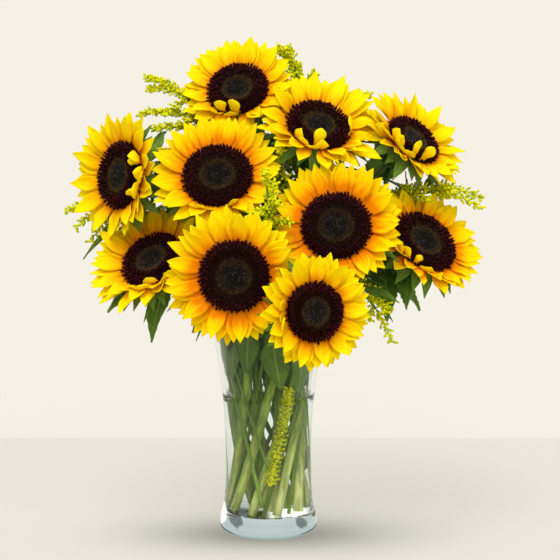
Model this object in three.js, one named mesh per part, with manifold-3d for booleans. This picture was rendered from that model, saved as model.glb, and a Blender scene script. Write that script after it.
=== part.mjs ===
// Ten cut sunflowers and sprays of goldenrod standing in a flared glass vase of water.
// Millimetres, +Z up, the origin at the middle of the vase's foot, and -Y towards the viewer.
import * as THREE from "three";
import { mergeVertices } from "three/addons/utils/BufferGeometryUtils.js";
import Module from "manifold-3d";

const wasm = await Module();
wasm.setup();

const DEGREE = Math.PI / 180;
const TURN = 2 * Math.PI;
// Pieces that touch keep this gap, and pieces that pass each other at least the other one
const GAP = 0.3;
const CLEAR = 0.25;

// The vase: glass thickness, the height of the floor inside it and of the water, and its mesh's facets
const VASE = { glass: 3.5, floor: 20, water: 140, sides: 28, steps: 6 };
// Radius and height of the corners of its foot, and of points on the outside of its wall
const VASE_FOOT = [
  [44, 0],
  [47.8, 1.6],
];
const VASE_WALL = [
  [48.8, 9],
  [47.2, 17],
  [44.2, 31],
  [42.7, 62],
  [43.4, 105],
  [47, 148],
  [53.2, 190],
  [60, 225],
];

// The stems stand in the vase as a twisted sheaf: each runs straight from its slot in the mouth down to a foot
// that lies turned clockwise from it. Height of the slots and feet, radius of each ring of slots and feet, and
// the turn in degrees
const SHEAF = { mouth: 225, foot: VASE.floor + GAP };
const RINGS = {
  outer: { top: 49, bottom: 30, turn: 100 },
  inner: { top: 17, bottom: 14, turn: 100 },
  front: { top: 48, bottom: 34, turn: 55 },
};

// Each sunflower: the middle of its disc, the way it faces (degrees to the right of the viewer, and upwards),
// the radius of its disc, how far its petals reach, its stem's ring and slot, how far the stem runs on behind
// the head and above the mouth before it bends, and the ways round the head, in degrees from its right, at
// which petals curl over the disc
const SUNFLOWERS = [
  { at: [-29, -5, 439], faces: [-12, 41], disc: 30, reach: 54, ring: "outer", slot: 115, bend: [60, 110], curled: [245, 285] },
  { at: [48, -40, 406], faces: [19, 49], disc: 31.5, reach: 58, ring: "outer", slot: 70, bend: [60, 100], curled: [262, 345] },
  { at: [139, -15, 390], faces: [49, 43], disc: 28, reach: 54, ring: "outer", slot: 25, bend: [60, 90], curled: [215, 245] },
  { at: [-139, -40, 360], faces: [-50, 10], disc: 32.5, reach: 58, ring: "outer", slot: 160, bend: [60, 80], curled: [15, 320] },
  { at: [-47, -75, 362], faces: [-5, 37], disc: 33.5, reach: 59, ring: "inner", slot: 200, bend: [50, 80], curled: [] },
  { at: [64, -100, 318], faces: [-5, 26], disc: 33, reach: 60, ring: "inner", slot: 20, bend: [60, 60], curled: [] },
  { at: [-109, -65, 280], faces: [-33, 44], disc: 31, reach: 56, ring: "outer", slot: 205, bend: [18, 50], curled: [] },
  { at: [-30, -135, 277], faces: [-7, 5], disc: 33, reach: 60, ring: "outer", slot: 250, bend: [50, 60], curled: [] },
  { at: [42, -155, 247], faces: [22, 7], disc: 27.5, reach: 51, ring: "outer", slot: 295, bend: [70, 60], curled: [165, 195] },
  { at: [149, -45, 295], faces: [38, 41], disc: 34, reach: 58, ring: "outer", slot: 340, bend: [50, 80], curled: [225] },
];

// One head: petals in a front and a back row, which leave the rim of the head's plate by turns. Angles are in
// degrees and lengths are shares of the petals' reach
const PETALS = 26;
const PETAL = { root: 1.2, blade: 0.9, width: 15, waist: 0.5, dish: 1.3, slant: 10, twist: 22 };
const FRONT_ROW = { tilt: 24, tiltSpread: 12, curl: -16, curlSpread: 20, length: 1.03 };
const BACK_ROW = { tilt: 3, tiltSpread: 7, curl: -12, curlSpread: 14, length: 1.09 };
const CURLED = { tilt: 70, curl: 84, length: 1.02 };
// Further tilt, and share of its length, that a petal is tried at in turn until it is clear of its neighbours
const FRONT_TRIES = [[0, 1], [8, 1], [16, 1], [-8, 1], [26, 1], [38, 1], [50, 0.9], [0, 0.75], [20, 0.6], [45, 0.6], [60, 0.5]];
const BACK_TRIES = [[0, 1], [-8, 1], [-16, 1], [6, 1], [-26, 1], [-38, 0.9], [0, 0.75], [-16, 0.6], [-45, 0.6], [-60, 0.5]];

// The disc of florets behind a raised outer band, and the green cup and bracts behind a head
const DISC = { inset: 1.2, sectors: 18, rings: [0.2, 0.42, 0.62, 0.8, 0.94], height: 5, band: 3, bandAt: 0.8, relief: 0.7 };
const CUP = { sides: 10, drop: 1.8, waistShare: 0.62, waist: 11, depth: 21, neck: 6.6 };
const BRACT = { length: 27, width: 13, blade: 0.9, tilt: -26, spread: 12, waist: 0.4 };
const BRACT_TRIES = [[0, 1], [12, 1], [-14, 1], [-28, 1], [-40, 1], [0, 0.7], [-20, 0.7], [-40, 0.7], [-60, 0.6]];
const STEM = { sides: 6, neck: 6.4, radius: 5.2, steps: 7 };

// Leaves on the stems: the share of the bent stem above the leaf, the way it points (degrees to the right of the
// viewer, and upwards), its length and width
const LEAVES = [
  { on: "sunflower_01", share: 0.25, points: [160, 20], length: 60, width: 30 },
  { on: "sunflower_02", share: 0.35, points: [120, 10], length: 62, width: 30 },
  { on: "sunflower_03", share: 0.2, points: [60, -25], length: 52, width: 26 },
  { on: "sunflower_04", share: 0.22, points: [10, 60], length: 58, width: 26 },
  { on: "sunflower_04", share: 0.55, points: [-140, 10], length: 64, width: 32 },
  { on: "sunflower_05", share: 0.3, points: [-80, 0], length: 50, width: 24 },
  { on: "sunflower_07", share: 0.12, points: [-35, -60], length: 50, width: 24 },
  { on: "sunflower_08", share: 0.1, points: [-25, -62], length: 44, width: 22 },
  { on: "sunflower_10", share: 0.3, points: [0, -25], length: 60, width: 28 },
  { on: "sunflower_10", share: 0.55, points: [130, 0], length: 60, width: 30 },
  { on: "goldenrod_lower_right", share: 0.42, points: [84, 4], length: 46, width: 13 },
  { on: "goldenrod_lower_right", share: 0.3, points: [50, -60], length: 36, width: 11 },
];
const LEAF = { stations: [0, 0.16, 0.34, 0.5, 0.66, 0.82], droop: 0.35, blade: 0.9, keel: 0.12, stalk: 2.6 };
const LEAF_SHAPE = [0.5, 0.5, 1, 0.84, 0.78, 0.46];
// Turns about its stem, in degrees, that a leaf or a branch is tried at until it is clear of the rest
const TURNS = [0, 15, -15, 30, -30, 50, -50, 75, -75, 100, -100, 130, -130, 160, -160, 180];

// Sprays of goldenrod: the tip, the way the tip points (degrees to the right of the viewer, and upwards), the
// stem's ring and slot, how far it runs on below the tip and above the mouth before it bends, its number of
// branches and their length, and the heights between which florets cover its straight stretch
const SPRAYS = [
  { name: "top", tip: [18, 22, 480], points: [-50, 70], ring: "outer", slot: 92.5, bend: [90, 120], branches: 5, length: 34 },
  { name: "upper_left", tip: [-118, 5, 440], points: [-85, 30], ring: "outer", slot: 137.5, bend: [90, 110], branches: 5, length: 40 },
  { name: "lower_left", tip: [-201, 15, 319], points: [-95, 8], ring: "outer", slot: 182.5, bend: [60, 60], branches: 5, length: 36 },
  { name: "middle", tip: [-2, -122, 372], points: [-10, 70], ring: "outer", slot: 272.5, bend: [60, 60], branches: 5, length: 30 },
  { name: "right", tip: [208, -20, 336], points: [80, 8], ring: "outer", slot: 2.5, bend: [80, 80], branches: 5, length: 36 },
  { name: "lower_right", tip: [118, -88, 206], points: [60, -50], ring: "front", slot: 317.5, bend: [60, 50], branches: 4, length: 28, covered: [150, 52] },
  { name: "upper_right", tip: [100, 18, 434], points: [60, 50], ring: "outer", slot: 47.5, bend: [80, 110], branches: 4, length: 34 },
  { name: "back", tip: [10, 90, 400], points: [180, 35], ring: "inner", slot: 110, bend: [80, 100], branches: 5, length: 40 },
  { name: "inside", tip: [12, -68, 388], points: [0, 60], ring: "inner", slot: 290, bend: [60, 90], branches: 4, length: 30 },
];
const SPRAY = { sides: 4, radius: 1.75, neck: 1.2, steps: 8, flowering: 0.42 };
const PLUME = { sides: 3, bead: 9.5, belly: 3.8, neck: 1.2, droop: 0.35, covering: 3.4 };

const colours = {
  petals: new THREE.MeshStandardMaterial({ color: 0xffc20a, roughness: 0.6, metalness: 0 }),
  disc: new THREE.MeshStandardMaterial({ color: 0x2a1512, roughness: 0.9, metalness: 0 }),
  stem: new THREE.MeshStandardMaterial({ color: 0x4f7a2c, roughness: 0.7, metalness: 0 }),
  goldenrod: new THREE.MeshStandardMaterial({ color: 0xb3b52a, roughness: 0.8, metalness: 0 }),
  glass: new THREE.MeshStandardMaterial({ color: 0xe6f2ef, roughness: 0.05, metalness: 0 }),
  water: new THREE.MeshStandardMaterial({ color: 0xdcebe4, roughness: 0.02, metalness: 0 }),
};

const vector = (x, y, z) => new THREE.Vector3(x, y, z);
const UP = vector(0, 0, 1);
const along = (from, ...steps) => steps.reduce((p, [way, length]) => p.addScaledVector(way, length), from.clone());
const polar = (radius, angle, z) => vector(radius * Math.cos(angle), radius * Math.sin(angle), z);

// A way that points so many degrees to the right of the viewer, and upwards
function wayOf([round, up]) {
  const [a, b] = [round * DEGREE, up * DEGREE];
  return vector(Math.sin(a) * Math.cos(b), -Math.cos(a) * Math.cos(b), Math.sin(b));
}

// A number from 0 to 1 that looks random and is the same each time for the same seed
function vary(seed) {
  const s = Math.sin(seed * 12.9898 + 78.233) * 43758.5453;
  return s - Math.floor(s);
}

function meshOf(points, triangles) {
  const geometry = new THREE.BufferGeometry();
  const positions = points.flatMap((p) => [p.x, p.y, p.z]);
  geometry.setAttribute("position", new THREE.Float32BufferAttribute(positions, 3));
  geometry.setIndex(triangles.flat());
  return geometry;
}

function solidOf(geometry) {
  const bare = geometry.clone();
  bare.deleteAttribute("normal");
  bare.deleteAttribute("uv");
  const merged = mergeVertices(bare, 1e-4);
  return new wasm.Manifold(
    new wasm.Mesh({
      numProp: 3,
      vertProperties: merged.attributes.position.array,
      triVerts: new Uint32Array(merged.index.array),
    }),
  );
}

function geometryOf(solid) {
  const mesh = solid.getMesh();
  const positions = new Float32Array(mesh.numVert * 3);
  for (let i = 0; i < mesh.numVert; i++)
    positions.set(mesh.vertProperties.subarray(i * mesh.numProp, i * mesh.numProp + 3), i * 3);
  const geometry = new THREE.BufferGeometry();
  geometry.setAttribute("position", new THREE.BufferAttribute(positions, 3));
  geometry.setIndex(new THREE.BufferAttribute(new Uint32Array(mesh.triVerts), 1));
  return geometry;
}

const join = (solids) => solids.reduce((all, next) => all.add(next));

// Everything that stands so far, and a test that a solid is clear of it all but the nodes left out
const standing = [];
const stand = (name, solid) => standing.push({ name, solid, box: solid.boundingBox() });
function isClear(solid, leftOut = []) {
  const box = solid.boundingBox();
  return standing.every(({ name, solid: other, box: around }) => {
    const apart = [0, 1, 2].some((i) => box.min[i] > around.max[i] + CLEAR || box.max[i] < around.min[i] - CLEAR);
    return apart || leftOut.includes(name) || solid.minGap(other, CLEAR) >= CLEAR;
  });
}

const root = new THREE.Group();
function addMesh(name, geometry, material, parent = root) {
  const mesh = new THREE.Mesh(geometry, material);
  mesh.name = name;
  parent.add(mesh);
}

// A closed tube along some points, with a radius at each. A level end is cut level with its last point
function tubeGeometry(points, radii, sides, level) {
  const last = points.length - 1;
  const rings = [];
  let across = vector(1, 0.13, 0.07);
  for (let i = last; i >= 0; i--) {
    const from = points[Math.max(Math.min(i, last - 1) - (i < last - 1 ? 1 : 0), 0)];
    const tangent = points[Math.min(i + 1, last)].clone().sub(from).normalize();
    across = along(across, [tangent, -across.dot(tangent)]).normalize();
    const other = tangent.clone().cross(across);
    const ring = [];
    for (let k = 0; k < sides; k++) {
      const a = (TURN * k) / sides;
      const p = along(points[i], [across, radii[i] * Math.cos(a)], [other, radii[i] * Math.sin(a)]);
      ring.push(level && i === last ? along(p, [tangent, (points[i].z - p.z) / tangent.z]) : p);
    }
    rings.unshift(ring);
  }
  const triangles = [];
  for (let i = 0; i < last; i++)
    for (let k = 0; k < sides; k++) {
      const [a, b] = [i * sides + k, i * sides + ((k + 1) % sides)];
      triangles.push([a, b, a + sides], [b, b + sides, a + sides]);
    }
  const end = last * sides;
  for (let k = 1; k + 1 < sides; k++) triangles.push([0, k + 1, k], [end, end + k, end + k + 1]);
  return meshOf(rings.flat(), triangles);
}

// The two ends of a stem's straight stretch in the vase: its slot in the mouth, and its foot
function sheafLine({ ring, slot }) {
  const { top, bottom, turn } = RINGS[ring];
  return [polar(top, slot * DEGREE, SHEAF.mouth), polar(bottom, (slot - turn) * DEGREE, SHEAF.foot)];
}

// The middle line of a stem: a curve from its upper end to the mouth, and then straight to its foot
function stemCurve(start, heading, [below, above], line) {
  const rise = line[0].clone().sub(line[1]).normalize();
  return new THREE.CubicBezierCurve3(start, along(start, [heading, below]), along(line[0], [rise, above]), line[0]);
}

// The head's own frame: x to its right, y up its face and z the way it faces
function headMatrix({ at, faces }) {
  const z = wayOf(faces);
  const x = UP.clone().cross(z).normalize();
  return new THREE.Matrix4().makeBasis(x, z.clone().cross(x), z).setPosition(...at);
}

// The corners of one petal in its head's frame, with a further tilt and at a share of its length
function petalShape(flower, index, k, [bend, share]) {
  const front = k % 2 === 0;
  const row = front ? FRONT_ROW : BACK_ROW;
  const seed = 100 * (index + 1) + k;
  const angle = (TURN * k) / PETALS;
  const curled = front && flower.curled.some((a) => Math.cos(a * DEGREE - angle) > Math.cos(TURN / PETALS));
  const tilt = (curled ? CURLED.tilt : row.tilt + row.tiltSpread * (vary(seed) - 0.5) + bend) * DEGREE;
  const curl = (curled ? CURLED.curl : row.curl + row.curlSpread * (vary(seed + 0.1) - 0.5)) * DEGREE;
  const reach = flower.reach - flower.disc;
  const length = share * reach * (curled ? CURLED.length : row.length * (0.92 + 0.16 * vary(seed + 0.2)));
  const width = PETAL.width * (0.88 + 0.24 * vary(seed + 0.3));
  const slant = PETAL.slant * DEGREE * (vary(seed + 0.4) - 0.5);
  const twist = PETAL.twist * DEGREE * (vary(seed + 0.5) - 0.5);

  const step = TURN / PETALS / 2;
  const [low, high] = front ? [0, PETAL.root] : [-PETAL.root, 0];
  const corner = (way, z) => polar(flower.disc - 0.5, angle + way * step, z);
  const inner = polar(Math.cos(tilt), angle, Math.sin(tilt));
  const outer = polar(Math.cos(tilt + curl), angle + slant, Math.sin(tilt + curl));
  const across = polar(1, angle + TURN / 4, 0).applyAxisAngle(inner, twist);
  const normal = inner.clone().cross(across);
  const middle = along(corner(0, (low + high) / 2), [inner, PETAL.waist * length]);
  const waist = [-0.5, 0, 0.5].map((s) => along(middle, [across, s * width], [normal, s === 0 ? -PETAL.dish : 0]));
  return {
    front,
    roots: [corner(-1, high), corner(1, high), corner(-1, low), corner(1, low)],
    upper: waist.map((p) => along(p, [normal, PETAL.blade / 2])),
    lower: waist.map((p) => along(p, [normal, -PETAL.blade / 2])),
    tip: along(middle, [outer, (1 - PETAL.waist) * length]),
  };
}

// A blade from a root (upper right and left corner, lower right and left corner) over a waist of two or three
// points above and as many below to a tip, all given as numbers of points
function bladeTriangles([hr, hl, lr, ll], upper, lower, tip) {
  const [[ur, uc, ul = uc], [dr, dc, dl = dc]] = [upper, lower];
  const triangles = [[hr, uc, hl], [hr, ur, uc], [ur, tip, uc], [lr, ll, dc], [lr, dc, dr], [dr, dc, tip]];
  if (uc !== ul) triangles.push([hl, uc, ul], [uc, tip, ul], [ll, dl, dc], [dc, dl, tip]);
  triangles.push([hr, lr, dr], [hr, dr, ur], [ur, dr, tip], [hl, dl, ll], [hl, ul, dl], [ul, tip, dl]);
  return triangles;
}

// Numbers of a blade's waist and tip where its points are added to a list that already has so many
function bladeNumbers({ upper, lower }, first) {
  return [upper.map((p, i) => first + i), lower.map((p, i) => first + upper.length + i), first + 2 * upper.length];
}

function bladeSolid(shape) {
  const points = [...shape.roots, ...shape.upper, ...shape.lower, shape.tip];
  const triangles = bladeTriangles([0, 1, 2, 3], ...bladeNumbers(shape, 4));
  return solidOf(meshOf(points, [...triangles, [0, 1, 2], [1, 3, 2]]));
}

// The first of a head's shapes for one blade that is clear of what stands already
function clearBlade(shapes, matrix, own) {
  const clear = shapes.find((shape) => isClear(bladeSolid(shape).transform(matrix.elements), own));
  if (!clear) console.error(`a blade of sunflower ${own} is not clear`);
  return clear || shapes[shapes.length - 1];
}

// All petals of a head on one plate. Front petals leave the upper half of its rim, and back petals the lower half
function whorlGeometry(flower, shapes) {
  const points = [vector(0, 0, PETAL.root), vector(0, 0, -PETAL.root)];
  shapes.forEach((shape, k) => {
    const angle = (TURN * (k - 0.5)) / PETALS;
    for (const z of [PETAL.root, 0, -PETAL.root]) points.push(polar(flower.disc - 0.5, angle, z));
  });
  const triangles = [];
  shapes.forEach((shape, k) => {
    const [a, b] = [2 + 3 * k, 2 + 3 * ((k + 1) % PETALS)];
    const blade = shape.front ? 0 : 1;
    const plain = 1 - blade;
    const first = points.length;
    points.push(...shape.upper, ...shape.lower, shape.tip);
    const roots = [a + blade, b + blade, a + blade + 1, b + blade + 1];
    triangles.push(...bladeTriangles(roots, ...bladeNumbers(shape, first)));
    triangles.push([a + plain, a + plain + 1, b + plain], [b + plain, a + plain + 1, b + plain + 1]);
    triangles.push([0, a, b], [1, b + 2, a + 2]);
  });
  return meshOf(points, triangles);
}

// The disc: dished in the middle, with a raised band of open florets and a relief of crossing spirals
function discGeometry(flower) {
  const { sectors, height } = DISC;
  const base = PETAL.root + GAP;
  const shares = [...DISC.rings, 1];
  const points = [vector(0, 0, base), vector(0, 0, base + height)];
  shares.forEach((share, i) => {
    for (let k = 0; k < sectors; k++) {
      const band = DISC.band * Math.exp(-(((share - DISC.bandAt) / 0.16) ** 2));
      const bump = DISC.relief * ((k + i) % 2 ? 1 : -1);
      const fall = share > 0.9 ? 0.72 : 1;
      const rise = share === 1 ? 0 : height * fall + band + bump;
      points.push(polar((flower.disc - DISC.inset) * share, (TURN * (k + i / 2)) / sectors, base + rise));
    }
  });
  const at = (i, k) => 2 + i * sectors + (k % sectors);
  const triangles = [];
  const outermost = shares.length - 1;
  for (let k = 0; k < sectors; k++) {
    triangles.push([1, at(0, k), at(0, k + 1)], [0, at(outermost, k + 1), at(outermost, k)]);
    for (let i = 0; i < outermost; i++)
      triangles.push([at(i, k), at(i + 1, k), at(i, k + 1)], [at(i, k + 1), at(i + 1, k), at(i + 1, k + 1)]);
  }
  return meshOf(points, triangles);
}

const cupAngle = (k) => (TURN * k) / CUP.sides;
const cupTop = -(PETAL.root + GAP);

// The corners of one bract in its head's frame, with a further tilt and at a share of its length
function bractShape(flower, index, k, [bend, share]) {
  const seed = 100 * (index + 1) + k + 0.7;
  const tilt = (BRACT.tilt + BRACT.spread * (vary(seed) - 0.5) + bend) * DEGREE;
  const length = share * BRACT.length * (0.85 + 0.3 * vary(seed + 0.1));
  const outer = polar(Math.cos(tilt), cupAngle(k), Math.sin(tilt));
  const across = polar(1, cupAngle(k) + TURN / 4, 0);
  const normal = outer.clone().cross(across);
  const root = polar(flower.disc - 2.8, cupAngle(k), cupTop - CUP.drop / 2);
  const middle = along(root, [outer, BRACT.waist * length]);
  const waist = [-0.5, 0.5].map((s) => along(middle, [across, s * BRACT.width]));
  const corner = (way, radius, z) => polar(radius, cupAngle(k + way / 2), z);
  const [top, low] = cupLevels(flower);
  return {
    roots: [corner(-1, ...top), corner(1, ...top), corner(-1, ...low), corner(1, ...low)],
    upper: waist.map((p) => along(p, [normal, BRACT.blade / 2])),
    lower: waist.map((p) => along(p, [normal, -BRACT.blade / 2])),
    tip: along(middle, [outer, (1 - BRACT.waist) * length]),
  };
}

// Radius and height of the cup's levels, from its rim to its neck
function cupLevels(flower) {
  return [
    [flower.disc - 2.5, cupTop],
    [flower.disc - 3, cupTop - CUP.drop],
    [flower.disc * CUP.waistShare, -CUP.waist],
    [CUP.neck, -CUP.depth],
  ];
}

// The green cup behind a head, with a pointed bract from each side of its rim
function cupGeometry(flower, shapes) {
  const points = [vector(0, 0, cupTop), vector(0, 0, -CUP.depth)];
  for (const [radius, z] of cupLevels(flower))
    for (let k = 0; k < CUP.sides; k++) points.push(polar(radius, cupAngle(k - 0.5), z));
  const at = (i, k) => 2 + i * CUP.sides + (k % CUP.sides);
  const triangles = [];
  shapes.forEach((shape, k) => {
    const roots = [at(0, k), at(0, k + 1), at(1, k), at(1, k + 1)];
    triangles.push(...bladeTriangles(roots, ...bladeNumbers(shape, points.length)));
    points.push(...shape.upper, ...shape.lower, shape.tip);
    triangles.push([0, at(0, k), at(0, k + 1)], [1, at(3, k + 1), at(3, k)]);
    for (let i = 1; i < 3; i++)
      triangles.push([at(i, k), at(i + 1, k), at(i, k + 1)], [at(i, k + 1), at(i + 1, k), at(i + 1, k + 1)]);
  });
  return meshOf(points, triangles);
}

// A leaf that leaves a stem at a point: its midrib droops, its sides rise from the midrib, and its edge is toothed
function leafGeometry(base, way, length, width) {
  const side = way.clone().cross(UP).normalize();
  const middles = LEAF.stations.map((s) => along(base, [way, s * length], [UP, -LEAF.droop * s * s * length]));
  const points = [];
  middles.forEach((p, i) => {
    const ahead = (middles[i + 1] || along(p, [way, 1], [UP, -0.6])).clone().sub(p).normalize();
    const normal = side.clone().cross(ahead).normalize();
    const half = i === 0 ? LEAF.stalk / 2 : (LEAF_SHAPE[i] * width) / 2;
    for (const rise of [0.5, -0.5])
      for (const s of [-1, 0, 1])
        points.push(along(p, [side, s * half], [normal, rise * LEAF.blade + Math.abs(s) * LEAF.keel * half]));
  });
  const end = points.length;
  points.push(along(base, [way, length], [UP, -LEAF.droop * length]));
  const triangles = [[0, 3, 1], [1, 3, 4], [1, 4, 2], [2, 4, 5]];
  for (let i = 0; i + 1 < middles.length; i++) {
    const [a, b] = [6 * i, 6 * (i + 1)];
    for (const s of [0, 1]) {
      triangles.push([a + s, a + s + 1, b + s], [a + s + 1, b + s + 1, b + s]);
      triangles.push([a + 3 + s, b + 3 + s, a + 4 + s], [a + 4 + s, b + 3 + s, b + 4 + s]);
    }
    triangles.push([a, b, a + 3], [a + 3, b, b + 3], [a + 2, a + 5, b + 2], [a + 5, b + 5, b + 2]);
  }
  const e = 6 * (middles.length - 1);
  triangles.push([e, e + 1, end], [e + 1, e + 2, end], [e + 4, e + 3, end], [e + 5, e + 4, end]);
  triangles.push([e + 3, e, end], [e + 2, e + 5, end]);
  return meshOf(points, triangles);
}

// A branch of goldenrod: a thin stem, drooping to its tip, that swells at each cluster of florets
function plumeGeometry(base, way, length) {
  const beads = Math.max(2, Math.round(length / PLUME.bead));
  const points = [base];
  const radii = [PLUME.neck];
  for (let i = 1; i <= 2 * beads; i++) {
    const s = i / (2 * beads);
    points.push(along(base, [way, s * length], [UP, -PLUME.droop * s * s * length]));
    radii.push(i % 2 ? PLUME.belly * (1 - 0.4 * s) : PLUME.neck * (1 - 0.3 * s));
  }
  return tubeGeometry(points, radii, PLUME.sides, false);
}

// Vase and water
const wall = new THREE.SplineCurve(VASE_WALL.map((p) => new THREE.Vector2(...p))).getPoints(VASE.steps);
const lathe = (profile) => new THREE.LatheGeometry(profile, VASE.sides).rotateX(TURN / 4);
const inside = (gap) => {
  const side = wall.filter((p) => p.y > VASE.floor + 6).map((p) => new THREE.Vector2(p.x - VASE.glass - gap, p.y));
  const low = side[0].x;
  return [
    new THREE.Vector2(0, VASE.floor + gap),
    new THREE.Vector2(low - 3.5, VASE.floor + gap),
    new THREE.Vector2(low - 1, VASE.floor + 2.5 + gap),
    ...side,
  ];
};
const foot = VASE_FOOT.map((p) => new THREE.Vector2(...p));
const vaseGeometry = lathe([new THREE.Vector2(0, 0), ...foot, ...wall, ...inside(0).reverse()]);
addMesh("vase", vaseGeometry, colours.glass);
stand("vase", solidOf(vaseGeometry));

function waterGeometry() {
  const bed = inside(GAP);
  const i = bed.findIndex((p) => p.y >= VASE.water);
  const share = (VASE.water - bed[i - 1].y) / (bed[i].y - bed[i - 1].y);
  const edge = bed[i - 1].clone().lerp(bed[i], share);
  return lathe([...bed.slice(0, i), edge, new THREE.Vector2(0, VASE.water)]);
}

const holes = [];

// A stem that stands in the vase, and the hole that the water keeps for it
function standStem(name, route, radii, sides, line, widest) {
  const solid = solidOf(tubeGeometry(route, radii, sides, true));
  if (!isClear(solid)) console.error(`${name}: its stem is not clear`);
  holes.push({ line, radius: widest, sides });
  stand(name, solid);
  return solid;
}

const heads = SUNFLOWERS.map((flower, index) => {
  const name = `sunflower_${String(index + 1).padStart(2, "0")}`;
  const matrix = headMatrix(flower);
  const line = sheafLine(flower);
  const start = vector(0, 0, 2 - CUP.depth).applyMatrix4(matrix);
  const curve = stemCurve(start, wayOf(flower.faces).negate(), flower.bend, line);
  const route = [...curve.getPoints(STEM.steps), line[1]];
  const radii = route.map((p, i) => (i === 0 ? STEM.neck : STEM.radius));
  const green = standStem(`${name}_stem`, route, radii, STEM.sides, line, STEM.radius);
  stand(`${name}_disc`, solidOf(discGeometry(flower)).transform(matrix.elements));
  return { name, flower, index, matrix, curve, green };
});
const sprays = SPRAYS.map((spray, index) => {
  const name = `goldenrod_${spray.name}`;
  const line = sheafLine(spray);
  const way = wayOf(spray.points);
  const start = along(vector(...spray.tip), [way, -spray.length], [UP, PLUME.droop * spray.length]);
  const curve = stemCurve(start, way.negate(), spray.bend, line);
  const route = curve.getPoints(SPRAY.steps);
  const radii = route.map((p, i) => (i < 2 ? SPRAY.neck : SPRAY.radius));
  if (spray.covered) {
    const [high, low] = spray.covered.map((z) => (line[0].z - z) / (line[0].z - line[1].z));
    const beads = Math.round((spray.covered[0] - spray.covered[1]) / PLUME.bead);
    for (let i = 0; i <= 2 * beads; i++) {
      route.push(line[0].clone().lerp(line[1], high + ((low - high) * i) / (2 * beads)));
      radii.push(i % 2 ? PLUME.covering : SPRAY.radius);
    }
  }
  route.push(line[1]);
  radii.push(SPRAY.radius);
  const green = standStem(name, route, radii, SPRAY.sides, line, Math.max(...radii));
  return { name, spray, index, curve, green };
});

// Cups and petals, each blade bent clear of what stands already
for (const head of heads) {
  const { name, flower, index, matrix } = head;
  const shapes = Array.from({ length: CUP.sides }, (_, k) =>
    clearBlade(BRACT_TRIES.map((bend) => bractShape(flower, index, k, bend)), matrix, [`${name}_stem`]),
  );
  const cup = solidOf(cupGeometry(flower, shapes)).transform(matrix.elements);
  stand(`${name}_stem`, cup);
  head.green = head.green.add(cup);
}
for (const { name, flower, index, matrix } of heads) {
  const shapes = Array.from({ length: PETALS }, (_, k) => {
    const tries = k % 2 === 0 ? FRONT_TRIES : BACK_TRIES;
    return clearBlade(tries.map((bend) => petalShape(flower, index, k, bend)), matrix);
  });
  const whorl = whorlGeometry(flower, shapes);
  stand(`${name}_petals`, solidOf(whorl).transform(matrix.elements));
  const group = new THREE.Group();
  group.applyMatrix4(matrix);
  root.add(group);
  addMesh(`${name}_petals`, whorl, colours.petals, group);
  addMesh(`${name}_disc`, discGeometry(flower), colours.disc, group);
}

// Leaves, each turned clear and joined to its stem
for (const leaf of LEAVES) {
  const owner = [...heads, ...sprays].find(({ name }) => name === leaf.on);
  const own = heads.includes(owner) ? `${owner.name}_stem` : owner.name;
  const at = owner.curve.getPoint(leaf.share);
  const axis = owner.curve.getTangent(leaf.share);
  const tries = TURNS.map((turn) => {
    const way = wayOf(leaf.points).applyAxisAngle(axis, turn * DEGREE);
    return solidOf(leafGeometry(at, way, leaf.length, leaf.width));
  });
  const clear = tries.find((solid) => isClear(solid, [own]));
  if (!clear) throw new Error(`${own}: its leaf is not clear`);
  stand(own, clear);
  owner.green = owner.green.add(clear);
}
for (const { name, green } of heads) addMesh(`${name}_stem`, geometryOf(green), colours.stem);

// Branches of the goldenrod, each turned clear
for (const { name, spray, index, curve, green } of sprays) {
  const parts = [green];
  for (let j = 0; j < spray.branches; j++) {
    const seed = 50 * (index + 30) + j;
    const share = (SPRAY.flowering * j) / spray.branches;
    const axis = curve.getTangent(share).negate();
    const length = spray.length * (j === 0 ? 1 : 0.8 + 0.4 * vary(seed));
    const tries = TURNS.map((turn) => {
      const out = vector(1, 0.13, 0.07).cross(axis).normalize();
      out.applyAxisAngle(axis, TURN * (0.38 * j + 0.15 * vary(seed + 0.5)) + turn * DEGREE);
      const way = j === 0 ? axis : along(axis, [out, 0.9]).normalize();
      return solidOf(plumeGeometry(curve.getPoint(share), way, length));
    });
    const clear = tries.find((solid) => isClear(solid, [name]));
    if (clear) parts.push(clear);
    else console.error(`${name}: branch ${j} is not clear`);
  }
  const solid = join(parts);
  stand(name, solid);
  addMesh(name, geometryOf(solid), colours.goldenrod);
}

// The water, with a plain hole round each stem
let water = solidOf(waterGeometry());
for (const { line, radius, sides } of holes) {
  const fall = line[1].clone().sub(line[0]).normalize();
  const wider = radius + (GAP + 0.05) / Math.cos(TURN / 2 / sides);
  water = water.subtract(solidOf(tubeGeometry([line[0], along(line[1], [fall, 6])], [wider, wider], sides, false)));
}
addMesh("water", geometryOf(water), colours.water);

export default root;
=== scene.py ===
"""Ten cut sunflowers and sprays of goldenrod in a flared glass vase of water, in plain studio light.

Lengths are in millimetres until a piece is finished, and angles are in degrees where they are named values.
"""

from collections import namedtuple
from math import cos, exp, floor, pi, radians, sin, sqrt

import bmesh
import bpy
from mathutils import Matrix, Vector, bvhtree, geometry, kdtree


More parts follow.
